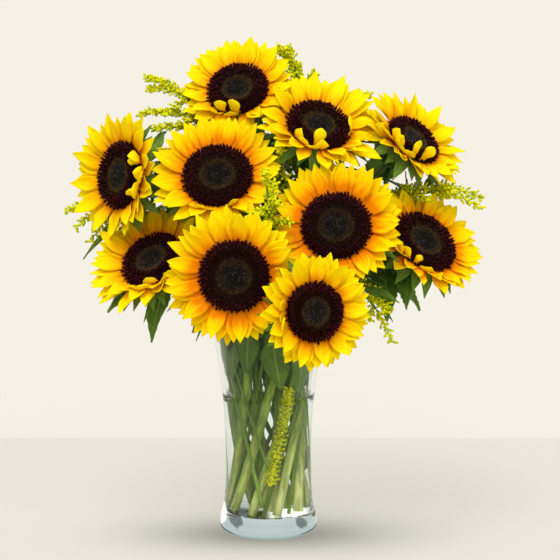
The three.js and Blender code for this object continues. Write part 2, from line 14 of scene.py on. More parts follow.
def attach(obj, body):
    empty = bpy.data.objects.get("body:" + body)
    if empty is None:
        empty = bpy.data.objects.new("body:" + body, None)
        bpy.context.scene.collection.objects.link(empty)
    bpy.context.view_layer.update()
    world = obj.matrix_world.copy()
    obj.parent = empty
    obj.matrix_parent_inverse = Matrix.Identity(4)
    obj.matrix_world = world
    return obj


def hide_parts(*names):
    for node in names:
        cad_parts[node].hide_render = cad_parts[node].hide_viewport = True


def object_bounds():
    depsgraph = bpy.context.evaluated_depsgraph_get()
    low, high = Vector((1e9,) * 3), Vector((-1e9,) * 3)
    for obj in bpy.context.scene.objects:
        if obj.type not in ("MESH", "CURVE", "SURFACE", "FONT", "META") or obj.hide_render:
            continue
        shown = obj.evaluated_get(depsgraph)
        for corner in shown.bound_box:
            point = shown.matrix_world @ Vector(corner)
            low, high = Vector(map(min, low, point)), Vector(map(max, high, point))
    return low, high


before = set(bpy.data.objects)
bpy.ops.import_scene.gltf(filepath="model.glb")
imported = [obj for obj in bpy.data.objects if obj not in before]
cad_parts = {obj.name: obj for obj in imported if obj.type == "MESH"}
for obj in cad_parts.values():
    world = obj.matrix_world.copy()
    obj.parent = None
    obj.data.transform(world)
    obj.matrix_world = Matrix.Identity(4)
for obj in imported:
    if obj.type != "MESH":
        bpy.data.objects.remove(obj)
cad_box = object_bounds()

MM = 0.001
TURN = 2 * pi
GOLDEN_TURN = pi * (3 - sqrt(5))
UP = Vector((0, 0, 1))
# The way the viewer looks, and a way along which no stem or branch runs
AWAY = Vector((0, 0.99, -0.15)).normalized()
ASIDE = Vector((1, 0.13, 0.07))
# Tips this close to a corner of the frame are taken to be the same
NEAR = 0.05
# How far leaves and branches droop at their tips, as a share of their length
DROOP = 0.35

# The vase, as the frame has it: thickness of the glass, heights of the floor inside, of the water and of
# the rim, radius of the rim, and points (radius, height) on its outside
GLASS = 3.5
VASE_FLOOR = 20
WATER = 140
MOUTH = 225
RIM = 60
VASE_UNDERSIDE = [(0, 1.6), (20, 1.45), (33, 0.9), (38, 0), (43.2, 0), (45.4, 0.35)]
VASE_UNDERSIDE += [(47.1, 1.3), (48.1, 3), (48.6, 5.6)]
VASE_WALL = [(48.8, 9), (47.2, 17), (44.2, 31), (42.7, 62), (43.4, 105)]
VASE_WALL += [(47, 148), (53.2, 190), (RIM, MOUTH)]
VASE_INSIDE = [(z, r - GLASS) for r, z in VASE_WALL]
VASE_SIDES = 96
# How far the water reaches into the glass
INTO_GLASS = 0.15

# Stems stand on their feet just above the floor inside
FOOT = VASE_FLOOR + 0.3

# Rings of slots in the mouth and of feet: radius above, radius below, and the turn between them
OUTER = (49, 30, 100)
INNER = (17, 14, 100)
FRONT = (48, 34, 55)

# Each sunflower: middle of its disc, the way it faces, radius of its disc, reach of its petals, ring and
# slot of its stem, how far the stem runs on before it bends, the ways at which petals curl over the disc,
# how golden the petals are at its foot and at its top, which is partly their own tone and partly painted
# shade, and the ways between which more petals stand up
Flower = namedtuple("Flower", "at faces disc reach ring slot bend curled golden standing")
FLOWERS = [
    ((-29, -5, 439), (-12, 41), 30, 54, OUTER, 115, (60, 110), (245, 285), (0.03, 0.01), (230, 310)),
    ((48, -40, 406), (19, 49), 31.5, 58, OUTER, 70, (60, 100), (262, 345), (0.0, 0.0), (195, 335)),
    ((139, -15, 390), (49, 43), 28, 54, OUTER, 25, (60, 90), (215, 245), (0.0, 0.0), (150, 270)),
    ((-139, -40, 360), (-50, 10), 32.5, 58, OUTER, 160, (60, 80), (15, 320), (0.02, 0.02), (-50, 45)),
    ((-47, -75, 362), (-5, 37), 33.5, 59, INNER, 200, (50, 80), (), (0.03, 0.24), (240, 300)),
    ((64, -100, 318), (-5, 26), 33, 60, INNER, 20, (60, 60), (), (0.27, 0.21), (0, 0)),
    ((-109, -65, 280), (-33, 44), 31, 56, OUTER, 205, (18, 50), (), (-0.05, 0.16), (255, 350)),
    ((-30, -135, 277), (-7, 5), 33, 60, OUTER, 250, (50, 60), (), (0.36, 0.06), (0, 0)),
    ((42, -155, 247), (22, 7), 27.5, 51, OUTER, 295, (70, 60), (165, 195), (0.12, 0.04), (170, 190)),
    ((149, -45, 295), (38, 41), 34, 58, OUTER, 340, (50, 80), (225,), (0.18, 0.14), (185, 285)),
]
FLOWERS = [Flower(*values) for values in FLOWERS]

# Petals, in a front and a back row, as the frame has them. Outlines are shares of the length and the width
PETALS = 26
PETAL_ROOT = 1.2
PETAL_WIDTH = 15
PETAL_THICKNESS = 0.45
PETAL_OUTLINE = [(0, 0.6), (0.2, 0.86), (0.42, 1), (0.58, 0.95), (0.74, 0.74), (0.87, 0.44)]
PETAL_OUTLINE += [(0.95, 0.19), (1, 0.02)]
CURLED_OUTLINE = [(0, 0.55), (0.25, 0.55), (0.5, 0.74), (0.7, 0.98), (0.82, 0.98), (0.9, 0.8)]
CURLED_OUTLINE += [(0.96, 0.5), (1, 0.06)]
PETAL_SLANT = 10
PETAL_TWIST = 22
Row = namedtuple("Row", "tilt tilt_spread curl curl_spread length")
FRONT_ROW = Row(24, 12, -16, 20, 1.03)
BACK_ROW = Row(3, 7, -12, 14, 1.09)
MIDDLE_ROW = Row(13, 9, -14, 18, 0.98)
STANDING_ROW = Row(44, 30, 14, 50, 0.66)
CURLED = Row(70, 0, 84, 0, 1.02)
# How far a petal may be bent and what share of its length it may have, in the order of trying
FRONT_TRIES = [(0, 1), (8, 1), (16, 1), (-8, 1), (26, 1), (38, 1), (50, 0.9), (0, 0.75), (20, 0.6)]
FRONT_TRIES += [(45, 0.6), (60, 0.5)]
BACK_TRIES = [(0, 1), (-8, 1), (-16, 1), (6, 1), (-26, 1), (-38, 0.9), (0, 0.75), (-16, 0.6)]
BACK_TRIES += [(-45, 0.6), (-60, 0.5)]
MIDDLE_TRIES = [(0, 1), (6, 1), (-6, 1), (14, 0.95), (-14, 0.95), (22, 0.85), (-24, 0.85), (0, 0.7)]
MIDDLE_SHARE = 0.92
STANDING_SHARE = 0.6
# How much more petals stand up on the viewer's side and on the far side, and how much longer the last are
NEAR_LEAN = 24
FAR_LEAN = 14
FAR_STRETCH = 0.28
# Flowers whose petals are longer on their left or, where the share is negative, on their right
STRETCHED = {1: -0.3, 3: 0.32, 4: 0.16, 6: 0.34, 7: 0.14}
# Flowers whose curled petals are smaller, with their share of the usual size
SMALL_CURLED = {3: 0.62, 9: 0.62}

# The disc: closed buds in its middle, open florets beyond a share of its radius, and a raised band
DISC_INSET = 1.2
DISC_HEIGHT = 5
BAND = 3
BAND_AT = 0.8
BUDS = 310
OPEN_FLORETS = 315
OPEN_FROM = 0.55

# The cup, bracts and stem behind the disc
CUP_SIDES = 10
CUP_TOP = -1.5
CUP_DEPTH = 21
BRACT = {"length": 27, "width": 13, "tilt": -26, "spread": 12}
BRACT_OUTLINE = [(0, 0.8), (0.35, 1.0), (0.6, 0.72), (0.8, 0.34), (1, 0.03)]
BRACT_TRIES = [(0, 1), (12, 1), (-14, 1), (-28, 1), (-40, 1), (0, 0.7), (-20, 0.7), (-40, 0.7), (-60, 0.6)]
STEM_NECK = 6.4
STEM_RADIUS = 5.2

# Leaves: stem, share of the bent stem above the leaf, the way it points, its length and its width
Leaf = namedtuple("Leaf", "on share points length width")
LEAVES = [
    ("sunflower_01", 0.25, (160, 20), 60, 30),
    ("sunflower_02", 0.35, (120, 10), 62, 30),
    ("sunflower_03", 0.2, (60, -25), 52, 26),
    ("sunflower_04", 0.22, (10, 60), 58, 26),
    ("sunflower_04", 0.55, (-140, 10), 64, 32),
    ("sunflower_05", 0.3, (-80, 0), 50, 24),
    ("sunflower_07", 0.12, (-35, -60), 50, 24),
    ("sunflower_08", 0.1, (-25, -62), 44, 22),
    ("sunflower_10", 0.3, (0, -25), 60, 28),
    ("sunflower_10", 0.55, (130, 0), 60, 30),
    ("goldenrod_lower_right", 0.42, (84, 4), 46, 13),
    ("goldenrod_lower_right", 0.3, (50, -60), 36, 11),
]
LEAVES = [Leaf(*values) for values in LEAVES]
LEAF_ROLL = 130
LEAF_OUTLINE = [(0, 0.1), (0.07, 0.12), (0.16, 0.5), (0.26, 0.86), (0.36, 1.0), (0.5, 0.93), (0.66, 0.72)]
LEAF_OUTLINE += [(0.82, 0.42), (0.93, 0.17), (1, 0.02)]
HANGING_OUTLINE = [(0, 0.08), (0.12, 0.2), (0.3, 0.8), (0.45, 1), (0.65, 0.86), (0.85, 0.45), (1, 0.03)]
SIDE_VEINS = 8
VEIN_SLANT = 1.9
# Leaves at least this wide have teeth
BROAD = 12
LEAF_THICKNESS = 0.5
THIN_LEAF = 0.4
# More broad leaves: stem, share of the bent stem, where the leaf ends, and its width
REACHING_LEAVES = [
    (3, 0.02, (-99, -8, 404), 26),
    (4, 0.05, (-16, -30, 398), 18),
    (4, 0.02, (10, -30, 392), 12),
    (2, 0.06, (96, -8, 338), 22),
    (9, 0.02, (120, -50, 262), 20),
]
# More leaves, if there is room: their shares of the bent stem, their length and their width
FLOWER_LEAVES = ([0.06, 0.12, 0.19, 0.27, 0.36, 0.46, 0.57, 0.69, 0.82], 58, 28)
NARROW_LEAVES = ([0.04 + 0.075 * i for i in range(10)], 54, 11.5)
SPRAY_LEAVES = ([0.06 + 0.04 * i for i in range(20)], 52, 10.5)
# What share of a leaf may stand in front of flowers, and how far behind it these are looked for
HIDING = 0.12
HEADS_WITHIN = 260
# Leaves in the mouth of the vase: number round its wall, where others hang from each stem as shares of its
# straight stretch, and lengths of those in the order of trying. Outside the vase none hangs lower than this
MOUTH_LEAVES = 15
HANGING_FROM = (-0.04, 0.0, 0.06, 0.1, 0.15, 0.19, 0.24)
HANGING_LENGTHS = (46, 36, 27)
LOWEST_LEAF = 214
# Thin stalks inside the vase: how far round and how high each starts and ends, and its radius
STALKS = [
    (-64, 174, -8, 32, 2.1),
    (-44, 172, 6, 70, 1.5),
    (36, 174, 86, 30, 1.9),
    (20, 168, 60, 66, 1.4),
    (112, 174, 160, 30, 1.6),
    (150, 172, 190, 60, 1.4),
    (204, 174, 248, 28, 1.6),
    (250, 172, 284, 44, 1.4),
]
STALK_TURNS = [0, 3, -3, 6, -6, 9, -9, 12, -12, 16, -16, 20, -20, 25, -25, 30, -30]
# How far leaves and branches are turned about their stem, in the order of trying
TURNS = [0, 15, -15, 30, -30, 50, -50, 75, -75, 100, -100, 130, -130, 160, -160, 180]

# Sprays of goldenrod: tip, the way it points, ring and slot, how far the stem runs on before it bends,
# number and length of the branches, and the heights between which florets cover the stem
Spray = namedtuple("Spray", "name tip points ring slot bend branches length covered", defaults=[None])
SPRAYS = [
    ("top", (18, 22, 480), (-50, 70), OUTER, 92.5, (90, 120), 5, 34),
    ("upper_left", (-118, 5, 440), (-85, 30), OUTER, 137.5, (90, 110), 5, 40),
    ("lower_left", (-201, 15, 319), (-95, 8), OUTER, 182.5, (60, 60), 5, 36),
    ("middle", (-2, -122, 372), (-10, 70), OUTER, 272.5, (60, 60), 5, 30),
    ("right", (208, -20, 336), (80, 8), OUTER, 2.5, (80, 80), 5, 36),
    ("lower_right", (118, -88, 206), (60, -50), FRONT, 317.5, (60, 50), 4, 28, (150, 52)),
    ("upper_right", (100, 18, 434), (60, 50), OUTER, 47.5, (80, 110), 4, 34),
    ("back", (10, 90, 400), (180, 35), INNER, 110, (80, 100), 5, 40),
    ("inside", (12, -68, 388), (0, 60), INNER, 290, (60, 90), 4, 30),
]
SPRAYS = [Spray(*values) for values in SPRAYS]
# More branches: spray, share of the bent stem, where the branch ends, and a number that varies it
REACHING = [
    ("upper_left", 0.12, (-119, 0, 458), 0),
    ("upper_left", 0.22, (-126, -8, 418), 2),
    ("upper_left", 0.3, (-112, -14, 404), 3),
    ("lower_left", 0.1, (-176, 6, 283), 4),
    ("lower_left", 0.05, (-190, 4, 300), 5),
    ("top", 0.08, (8, 34, 484), 6),
    ("top", 0.16, (46, 34, 458), 7),
    ("top", 0.2, (30, 38, 470), 8),
    ("right", 0.06, (207, -26, 324), 9),
]
SPRAY_RADIUS = 1.75
SPRAY_NECK = 1.2
# The share of the bent stem that carries branches, and the step and length of the twigs on each
FLOWERING = 0.42
TWIG_STEP = 1.7
BELLY = 3.8
SIDE_PLUMES = 10
# Number and length of the twigs on a covered stem
COVERING_TWIGS = 150
COVERING = 3.4

# The studio, in metres: far edge of the floor, how much the floor shines by itself, and the camera
BACKDROP = 0.388
FLOOR_GLOW = 0.65
CAMERA_AT = (0.0116, -1.9, 0.545)
CAMERA_PITCH = 8.75
CAMERA_LENS = 125
CAMERA_SENSOR = 36
# Each light: name, where it comes from, how wide it spreads, and how strong it is
LIGHTS = [
    ("key", (-0.3, -0.75, 1.4), 35, 2.0),
    ("fill", (0.3, -1.6, 0.6), 60, 1.0),
    ("glint", (0.8, -1.0, 1.2), 2, 0.3),
]
SKY = (1.0, 0.985, 0.955)
SKY_LIGHT = 0.7

# Colours along a ramp: position, and red, green and blue
PETAL_FRONT = [
    (0.0, (0.9, 0.24, 0.0)),
    (0.1, (0.97, 0.38, 0.0)),
    (0.25, (1.0, 0.53, 0.0)),
    (0.48, (1.0, 0.72, 0.0)),
    (0.85, (1.0, 0.88, 0.002)),
]
PETAL_BACK = [
    (0.0, (0.75, 0.4, 0.003)),
    (0.2, (0.9, 0.52, 0.0)),
    (0.5, (0.98, 0.7, 0.0)),
    (0.85, (1.0, 0.86, 0.004)),
]
FLORET_FEET = [
    (0.0, (0.004, 0.004, 0.003)),
    (0.36, (0.006, 0.005, 0.003)),
    (0.5, (0.02, 0.012, 0.004)),
    (0.6, (0.014, 0.005, 0.002)),
    (0.68, (0.01, 0.001, 0.001)),
    (1.0, (0.014, 0.001, 0.001)),
]
FLORET_ENDS = [
    (0.0, (0.022, 0.018, 0.014)),
    (0.28, (0.024, 0.019, 0.013)),
    (0.5, (0.09, 0.05, 0.014)),
    (0.6, (0.09, 0.03, 0.01)),
    (0.7, (0.17, 0.014, 0.012)),
    (1.0, (0.16, 0.009, 0.01)),
]
STEM_GREENS = [
    (0.06, (0.7, 0.72, 0.25)),
    (0.2, (0.53, 0.61, 0.13)),
    (0.42, (0.33, 0.46, 0.055)),
    (0.62, (0.17, 0.29, 0.025)),
    (1.0, (0.07, 0.15, 0.01)),
]
GOLDENROD_YELLOWS = [
    (0.0, (0.22, 0.36, 0.006)),
    (0.3, (0.52, 0.62, 0.004)),
    (0.6, (0.84, 0.82, 0.004)),
    (1.0, (1.0, 0.93, 0.02)),
]
# The colour of petals and goldenrod with light behind them, and how much light falls through each skin
PETAL_LIT = (1.0, 0.66, 0.0)
GOLDENROD_LIT = (0.75, 0.76, 0.004)
PETAL_THIN = 0.28
GOLDENROD_THIN = 0.25
LEAF_THIN = 0.18
FLOOR_COLOUR = (0.838, 0.807, 0.716)
BACKDROP_COLOUR = (0.913, 0.871, 0.783)
BLACK = (0.0, 0.0, 0.0)


def way_of(round_and_up):
    """The way that points so many degrees to the right of the viewer, and upwards."""
    right, up = (radians(a) for a in round_and_up)
    return Vector((sin(right) * cos(up), -cos(right) * cos(up), sin(up)))


def polar(radius, angle, z=0.0):
    return Vector((radius * cos(angle), radius * sin(angle), z))


def vary(seed):
    """A number from 0 to 1 that looks random and is the same each time for the same seed."""
    s = sin(seed * 12.9898 + 78.233) * 43758.5453
    return s - floor(s)


def sway(seed):
    """A number from -0.5 to 0.5, likewise."""
    return vary(seed) - 0.5


def smooth(share):
    share = min(max(share, 0.0), 1.0)
    return share * share * (3 - 2 * share)


def between(stops, x):
    """The value at x on straight lines between stops (x, value)."""
    for (x0, v0), (x1, v1) in zip(stops, stops[1:]):
        if x <= x1:
            return v0 + (v1 - v0) * max(x - x0, 0) / (x1 - x0)
    return stops[-1][1]


def turned(vector, axis, angle):
    return Matrix.Rotation(angle, 3, axis) @ vector


def around(axis, angle):
    """The way square to an axis that is so far round it."""
    return turned(ASIDE.cross(axis).normalized(), axis, angle)


class Curve:
    """A stem's middle line from its upper end to the mouth of the vase, and on to its foot."""

    def __init__(self, start, heading, bend, ring, slot):
        top, bottom, turn = ring
        self.mouth = polar(top, radians(slot), MOUTH)
        self.foot = polar(bottom, radians(slot - turn), FOOT)
        rise = (self.mouth - self.foot).normalized()
        self.corners = [start, start + heading * bend[0], self.mouth + rise * bend[1], self.mouth]

    def at(self, share):
        a, b, c, d = self.corners
        rest = 1 - share
        return a * rest**3 + b * 3 * rest**2 * share + c * 3 * rest * share**2 + d * share**3

    def tangent(self, share):
        a, b, c, d = self.corners
        rest = 1 - share
        return ((b - a) * rest**2 + (c - b) * 2 * rest * share + (d - c) * share**2).normalized()

    def points(self, steps):
        return [self.at(i / steps) for i in range(steps + 1)]


class Corners:
    """The corners of a node of the frame, in millimetres, to find which of some forms it took."""

    def __init__(self, node):
        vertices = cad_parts[node].data.vertices
        self.tree = kdtree.KDTree(len(vertices))
        for i, vertex in enumerate(vertices):
            self.tree.insert(vertex.co / MM, i)
        self.tree.balance()

    def taken(self, forms, tip_of):
        """The form whose tip is a corner of the node."""
        gaps = [self.tree.find(tip_of(form))[2] for form in forms]
        nearest = min(gaps)
        return forms[next(i for i, gap in enumerate(gaps) if gap < nearest + NEAR)]


# Materials


class Value:
    """A number worked out by a material's nodes. Python's own signs on it add Math nodes."""

    def __init__(self, finish, socket):
        self.finish, self.socket = finish, socket

    def maths(self, operation, *others):
        return self.finish.maths(operation, self, *others)

    def __add__(self, other):
        return self.maths("ADD", other)

    def __mul__(self, other):
        return self.maths("MULTIPLY", other)

    def __sub__(self, other):
        return self.maths("SUBTRACT", other)

    def __rsub__(self, other):
        return self.maths("MULTIPLY_ADD", -1, other)

    def __pow__(self, other):
        return self.maths("POWER", other)

    def __abs__(self):
        return self.maths("ABSOLUTE")

    __radd__ = __add__
    __rmul__ = __mul__

    def part(self):
        return self.maths("FRACT")

    def exp(self):
        return self.maths("EXPONENT")

    def over(self, low, high):
        """0 below low and 1 above high, and smooth between them."""
        ends = {"Value": self, "From Min": low, "From Max": high}
        return self.finish.node("MapRange", {"interpolation_type": "SMOOTHSTEP"}, ends)


class Finish:
    """A material that is being made."""

    def __init__(self, name):
        self.material = bpy.data.materials.new(name)
        self.material.use_nodes = True
        self.tree = self.material.node_tree
        self.tree.nodes.clear()

    def node(self, kind, settings=None, values=None, out=0):
        node = self.tree.nodes.new("ShaderNode" + kind)
        for name, setting in (settings or {}).items():
            if name == "stops":
                elements = node.color_ramp.elements
                while len(elements) < len(setting):
                    elements.new(1.0)
                for element, (position, colour) in zip(elements, setting):
                    element.position = position
                    element.color = (*colour, 1)
            else:
                setattr(node, name, setting)
        for name, value in (values or {}).items():
            if isinstance(value, Value):
                self.tree.links.new(value.socket, node.inputs[name])
            elif isinstance(value, tuple) and len(value) == 3 and node.inputs[name].type == "RGBA":
                node.inputs[name].default_value = (*value, 1)
            else:
                node.inputs[name].default_value = value
        return Value(self, node.outputs[out])

    def maths(self, operation, *values):
        return self.node("Math", {"operation": operation}, dict(enumerate(values)))

    def parts(self, vector):
        node = self.node("SeparateXYZ", values={0: vector}).socket.node
        return [Value(self, node.outputs[i]) for i in range(3)]

    def lay(self):
        """What each vertex says of its place on its own petal, leaf, stem or floret."""
        return self.parts(self.node("Attribute", {"attribute_name": "lay"}, out="Vector"))

    def place(self):
        return self.node("TexCoord", out="Object")

    def places(self):
        return self.parts(self.place())

    def noise(self, vector, scale, detail=2.0, roughness=0.5):
        values = {"Vector": vector, "Scale": scale, "Detail": detail, "Roughness": roughness}
        return self.node("TexNoise", values=values)

    def vector(self, x, y, z):
        return self.node("CombineXYZ", values={0: x, 1: y, 2: z})

    def ramp(self, value, stops):
        return self.node("ValToRGB", {"stops": stops}, {0: value})

    def mix(self, share, first, second, blend="MIX"):
        settings = {"data_type": "RGBA", "blend_type": blend}
        return self.node("Mix", settings, {0: share, 6: first, 7: second}, out=2)

    def bump(self, height, strength, distance):
        return self.node("Bump", values={"Height": height, "Strength": strength, "Distance": distance})

    def principled(self, **values):
        return self.node("BsdfPrincipled", values={k.replace("_", " "): v for k, v in values.items()})

    def mixed(self, share, first, second):
        return self.node("MixShader", values={0: share, 1: first, 2: second})

    def thin(self, share, skin, colour, **values):
        """A skin that lets a share of plain coloured light through from behind."""
        return self.mixed(share, skin, self.node("BsdfTranslucent", values={"Color": colour, **values}))

    def done(self, surface):
        output = self.tree.nodes.new("ShaderNodeOutputMaterial")
        self.tree.links.new(surface.socket, output.inputs["Surface"])
        return self.material


def spot(*terms):
    """1 in the middle of a soft spot and less away from it, from each value, its middle and its fading."""
    return (-1 * sum(((value - middle) * fade) ** 2 for value, middle, fade in terms)).exp()


def petal_finish(name, stops):
    """Golden at the root and lemon yellow at the tip, with fine lines along it."""
    f = Finish(name)
    along, across, tone = f.lay()
    lines = f.noise(f.vector(across * 9, along * 1.1, tone * 40), 1.0, 3.0, 0.6)
    broad = f.noise(f.vector(across * 2.2, along * 2.4, tone * 40 + 7), 1.0, 1.0)
    pleats = abs(across * 3.2 + (lines - 0.5) * 0.8 + 8).part()
    ripening = along + (lines - 0.5) * 0.34 + (broad - 0.5) * 0.5 - tone * 1.0
    colour = f.ramp(ripening, stops)
    crease = abs(pleats - 0.5).over(0.5, 0.34)
    colour = f.mix((1 - crease) * 0.22 * (1.15 - along), colour, (0.93, 0.36, 0.0))
    relief = f.bump(lines * 0.6 + crease * 0.5, 0.5, 0.0006)
    skin = f.principled(Base_Color=colour, Roughness=0.6, Normal=relief, Specular_IOR_Level=0.04)
    return f.done(f.thin(PETAL_THIN, skin, PETAL_LIT, Normal=relief))


def disc_finish():
    """Maroon open florets round an olive ring and a near-black middle, with painted glints on the tips of
    some buds.
    """
    f = Finish("florets")
    share, height, tone = f.lay()
    body = f.ramp(share, FLORET_FEET)
    ends = f.ramp(share, FLORET_ENDS)
    # Painted highlights: grey glints on the tips of some buds in the middle
    painted_glints = tone.over(0.6, 0.95) * height.over(0.6, 1.0) * share.over(0.45, 0.3)
    ends = f.mix(painted_glints * 0.6, ends, (0.085, 0.075, 0.075))
    violet = tone.over(0.72, 0.95) * share.over(0.5, 0.7)
    ends = f.mix(violet * 0.5, ends, (0.08, 0.03, 0.08))
    colour = f.mix(height.over(0.35, 1.0) * (0.15 + tone * 0.85), body, ends)
    grain = f.bump(f.noise(f.place(), 2600, 2.0), 0.3, 0.0002)
    return f.done(f.principled(Base_Color=colour, Roughness=0.7, Normal=grain, Specular_IOR_Level=0.08))


def stem_finish():
    """Green with fine lines, paler and yellower towards the cut end."""
    f = Finish("stem")
    x, y, along = f.lay()
    lines = f.noise(f.vector(x * 4, y * 4, along * 1.5), 1.0, 3.0)
    right, back, height = f.places()
    blotches = f.noise(f.place(), 60, 2.0)
    own = f.noise(f.vector(right * 38, back * 38, height * 5), 1.0, 1.0)
    rise = height + (blotches - 0.5) * 0.05 - (own - 0.5) * 0.16
    colour = f.ramp(rise * 3, STEM_GREENS)
    shade = f.noise(f.vector(x * 1.6, y * 1.6, along * 0.5), 1.0, 2.0)
    colour = f.mix(shade.over(0.42, 0.62) * 0.5, colour, (0.06, 0.12, 0.008))
    colour = f.mix(lines.over(0.5, 0.75) * 0.4, colour, (0.5, 0.56, 0.13))
    relief = f.bump(lines, 0.5, 0.0006)
    return f.done(f.principled(Base_Color=colour, Roughness=0.5, Normal=relief, Specular_IOR_Level=0.2))


def leaf_finish(name, dark, pale):
    """A green blade with a pale midrib and side veins that run forward to its edge."""
    f = Finish(name)
    along, across, tone = f.lay()
    side = abs(across)
    midrib = side.over(0.09, 0.03)
    course = abs((along * SIDE_VEINS - side * VEIN_SLANT + tone).part() - 0.5)
    vein = course.over(0.08, 0.01) * side.over(0.0, 0.06)
    patches = f.noise(f.vector(across * 2, along * 6, tone * 9), 1.0, 3.0)
    colour = f.mix(patches.over(0.3, 0.75) * 0.6 + tone * 0.25, dark, pale)
    colour = f.mix(midrib * 0.75 + vein * 0.4, colour, (0.34, 0.43, 0.13))
    relief = f.bump(patches * 0.4 - vein * 0.5 - midrib, 0.6, 0.0008)
    skin = f.principled(Base_Color=colour, Roughness=0.5, Normal=relief, Specular_IOR_Level=0.1)
    lit = tuple((a + b) / 2 for a, b in zip(dark, pale))
    return f.done(f.thin(LEAF_THIN, skin, lit, Normal=relief))


def goldenrod_finish():
    """Tiny florets from yellow-green to bright yellow."""
    f = Finish("goldenrod")
    tone, height, ripe = f.lay()
    colour = f.ramp(tone * 0.55 + height * 0.3 + ripe * 0.15, GOLDENROD_YELLOWS)
    grain = f.bump(f.noise(f.place(), 1800, 2.0), 0.5, 0.0003)
    skin = f.principled(Base_Color=colour, Roughness=0.6, Normal=grain, Specular_IOR_Level=0.05)
    return f.done(f.thin(GOLDENROD_THIN, skin, GOLDENROD_LIT))


def glass_finish():
    """Clear glass, teal in its thick foot, with painted shade along its bottom edge, painted dark
    reflections round the foot, and painted highlights that glow on the floor inside and on the left of the
    foot.
    """
    f = Finish("glass")
    x, y, z = f.places()
    out = (x * x + y * y) ** 0.5
    colour = f.mix(z.over(0.012, 0.022), (0.66, 0.82, 0.81), (0.96, 0.985, 0.98))
    # Painted shade: a dark teal band along the bottom edge of the foot
    colour = f.mix(z.over(0.005, 0.0005) * 0.75, colour, (0.2, 0.34, 0.33))
    # Streaky noise that breaks up the edges of the painted reflections and highlights
    painted_streaks = f.noise(f.vector(x * 90, y * 90, z * 60), 1.0, 3.0)
    quarter = (f.maths("ARCTAN2", x, -1 * y) * (2 / pi)).part()
    # Painted dark reflections: a dark patch on the outside of the foot in each quarter turn
    painted_dark_reflections = spot((quarter, 0.5, 5.5), (z, 0.016, 150))
    painted_dark_reflections = (painted_dark_reflections + (painted_streaks - 0.5) * 2.2).over(0.4, 0.75) * out.over(0.0445, 0.0465)
    colour = f.mix(painted_dark_reflections * 0.9, colour, (0.02, 0.03, 0.035))
    # Painted highlight: a bright spot that glows on the floor inside the vase
    lit = spot((x, 0.02, 42), (y, -0.014, 48), (z, 0.02, 400))
    lit = (lit + (painted_streaks - 0.5) * 0.8).over(0.2, 0.8) * out.over(0.0425, 0.041)
    # Painted highlight: a bright streak that glows on the left of the foot
    edge = spot((x, -0.047, 130), (y, -0.012, 45), (z, 0.02, 90))
    edge = (edge + (painted_streaks - 0.5) * 0.6).over(0.3, 0.6)
    painted_highlights = f.mix((lit + edge).over(0, 1), BLACK, (1.0, 1.0, 0.97))
    return clear_body(f, colour, 1.5, painted_highlights, 0.2)


def water_finish():
    return clear_body(Finish("water"), (0.95, 0.985, 0.98), 1.3, BLACK, 0.9)


def clear_body(f, colour, ior, painted_highlights, mirror):
    """A clear body that lets the light fall through to what stands in it."""
    clear = {"Roughness": 0.0, "IOR": ior, "Transmission_Weight": 1.0, "Specular_Tint": (mirror,) * 3}
    # Painted highlights glow from the surface where they are given; the water has none
    body = f.principled(Base_Color=colour, Emission_Color=painted_highlights, Emission_Strength=0.8, **clear)
    open_to_light = f.node("BsdfTransparent", values={"Color": (1.0, 1.0, 1.0)})
    shadow = f.node("LightPath", out="Is Shadow Ray")
    return f.done(f.mixed(shadow, body, open_to_light))


def floor_finish():
    """A pale floor with a soft grey shadow about the vase, and beyond its far edge the paler backdrop."""
    f = Finish("studio_floor")
    x, y, _ = f.places()
    beyond = y.over(BACKDROP - 0.004, BACKDROP + 0.004)
    shadow = spot((x, 0, 8.9), (y, -0.023, 18.5)) * 0.6
    colour = f.mix(shadow, f.mix(beyond, FLOOR_COLOUR, BACKDROP_COLOUR), BLACK)
    dim = f.mix(0.75, colour, BLACK)
    look = {"Base_Color": dim, "Roughness": 0.9, "Specular_IOR_Level": 0.0}
    return f.done(f.principled(**look, Emission_Color=colour, Emission_Strength=FLOOR_GLOW))


finishes = {
    "petal_front": petal_finish("petal_front", PETAL_FRONT),
    "petal_back": petal_finish("petal_back", PETAL_BACK),
    "disc": disc_finish(),
    "stem": stem_finish(),
    "leaf": leaf_finish("leaf", (0.08, 0.17, 0.014), (0.2, 0.34, 0.04)),
    "twig": leaf_finish("twig", (0.12, 0.26, 0.02), (0.26, 0.4, 0.05)),
    "goldenrod": goldenrod_finish(),
    "glass": glass_finish(),
    "water": water_finish(),
}


# Meshes

# A tree of each finished piece, to see what crosses it
room = {}
tree_of = bvhtree.BVHTree.FromBMesh


def start():
    """A mesh to build in, whose vertices say where they lie on their own petal, leaf, stem or floret."""
    bm = bmesh.new()
    bm.verts.layers.float_vector.new("lay")
    return bm


def lay_of(bm):
    return bm.verts.layers.float_vector["lay"]


def lay_on(bm, lay):
    layer = lay_of(bm)
    for vert in bm.verts:
        vert[layer] = lay(vert)


def finish_piece(name, bm, skins, nodes, thickness=0.0, facing=True):
    """The object of a mesh in millimetres, in its place, which stands for the frame's nodes."""
    room[name] = tree_of(bm)
    if facing:
        bmesh.ops.recalc_face_normals(bm, faces=bm.faces)
    bmesh.ops.scale(bm, vec=(MM, MM, MM), verts=bm.verts)
    for face in bm.faces:
        face.smooth = True
    mesh = bpy.data.meshes.new(name)
    bm.to_mesh(mesh)
    bm.free()
    for skin in skins:
        mesh.materials.append(finishes[skin])
    piece = bpy.data.objects.new(name, mesh)
    bpy.context.scene.collection.objects.link(piece)
    if thickness:
        shell = piece.modifiers.new("Thickness", "SOLIDIFY")
        shell.thickness = thickness * MM
        shell.offset = 0
        shell.material_offset = len(skins) - 1
    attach(piece, "root")
    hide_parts(*nodes)


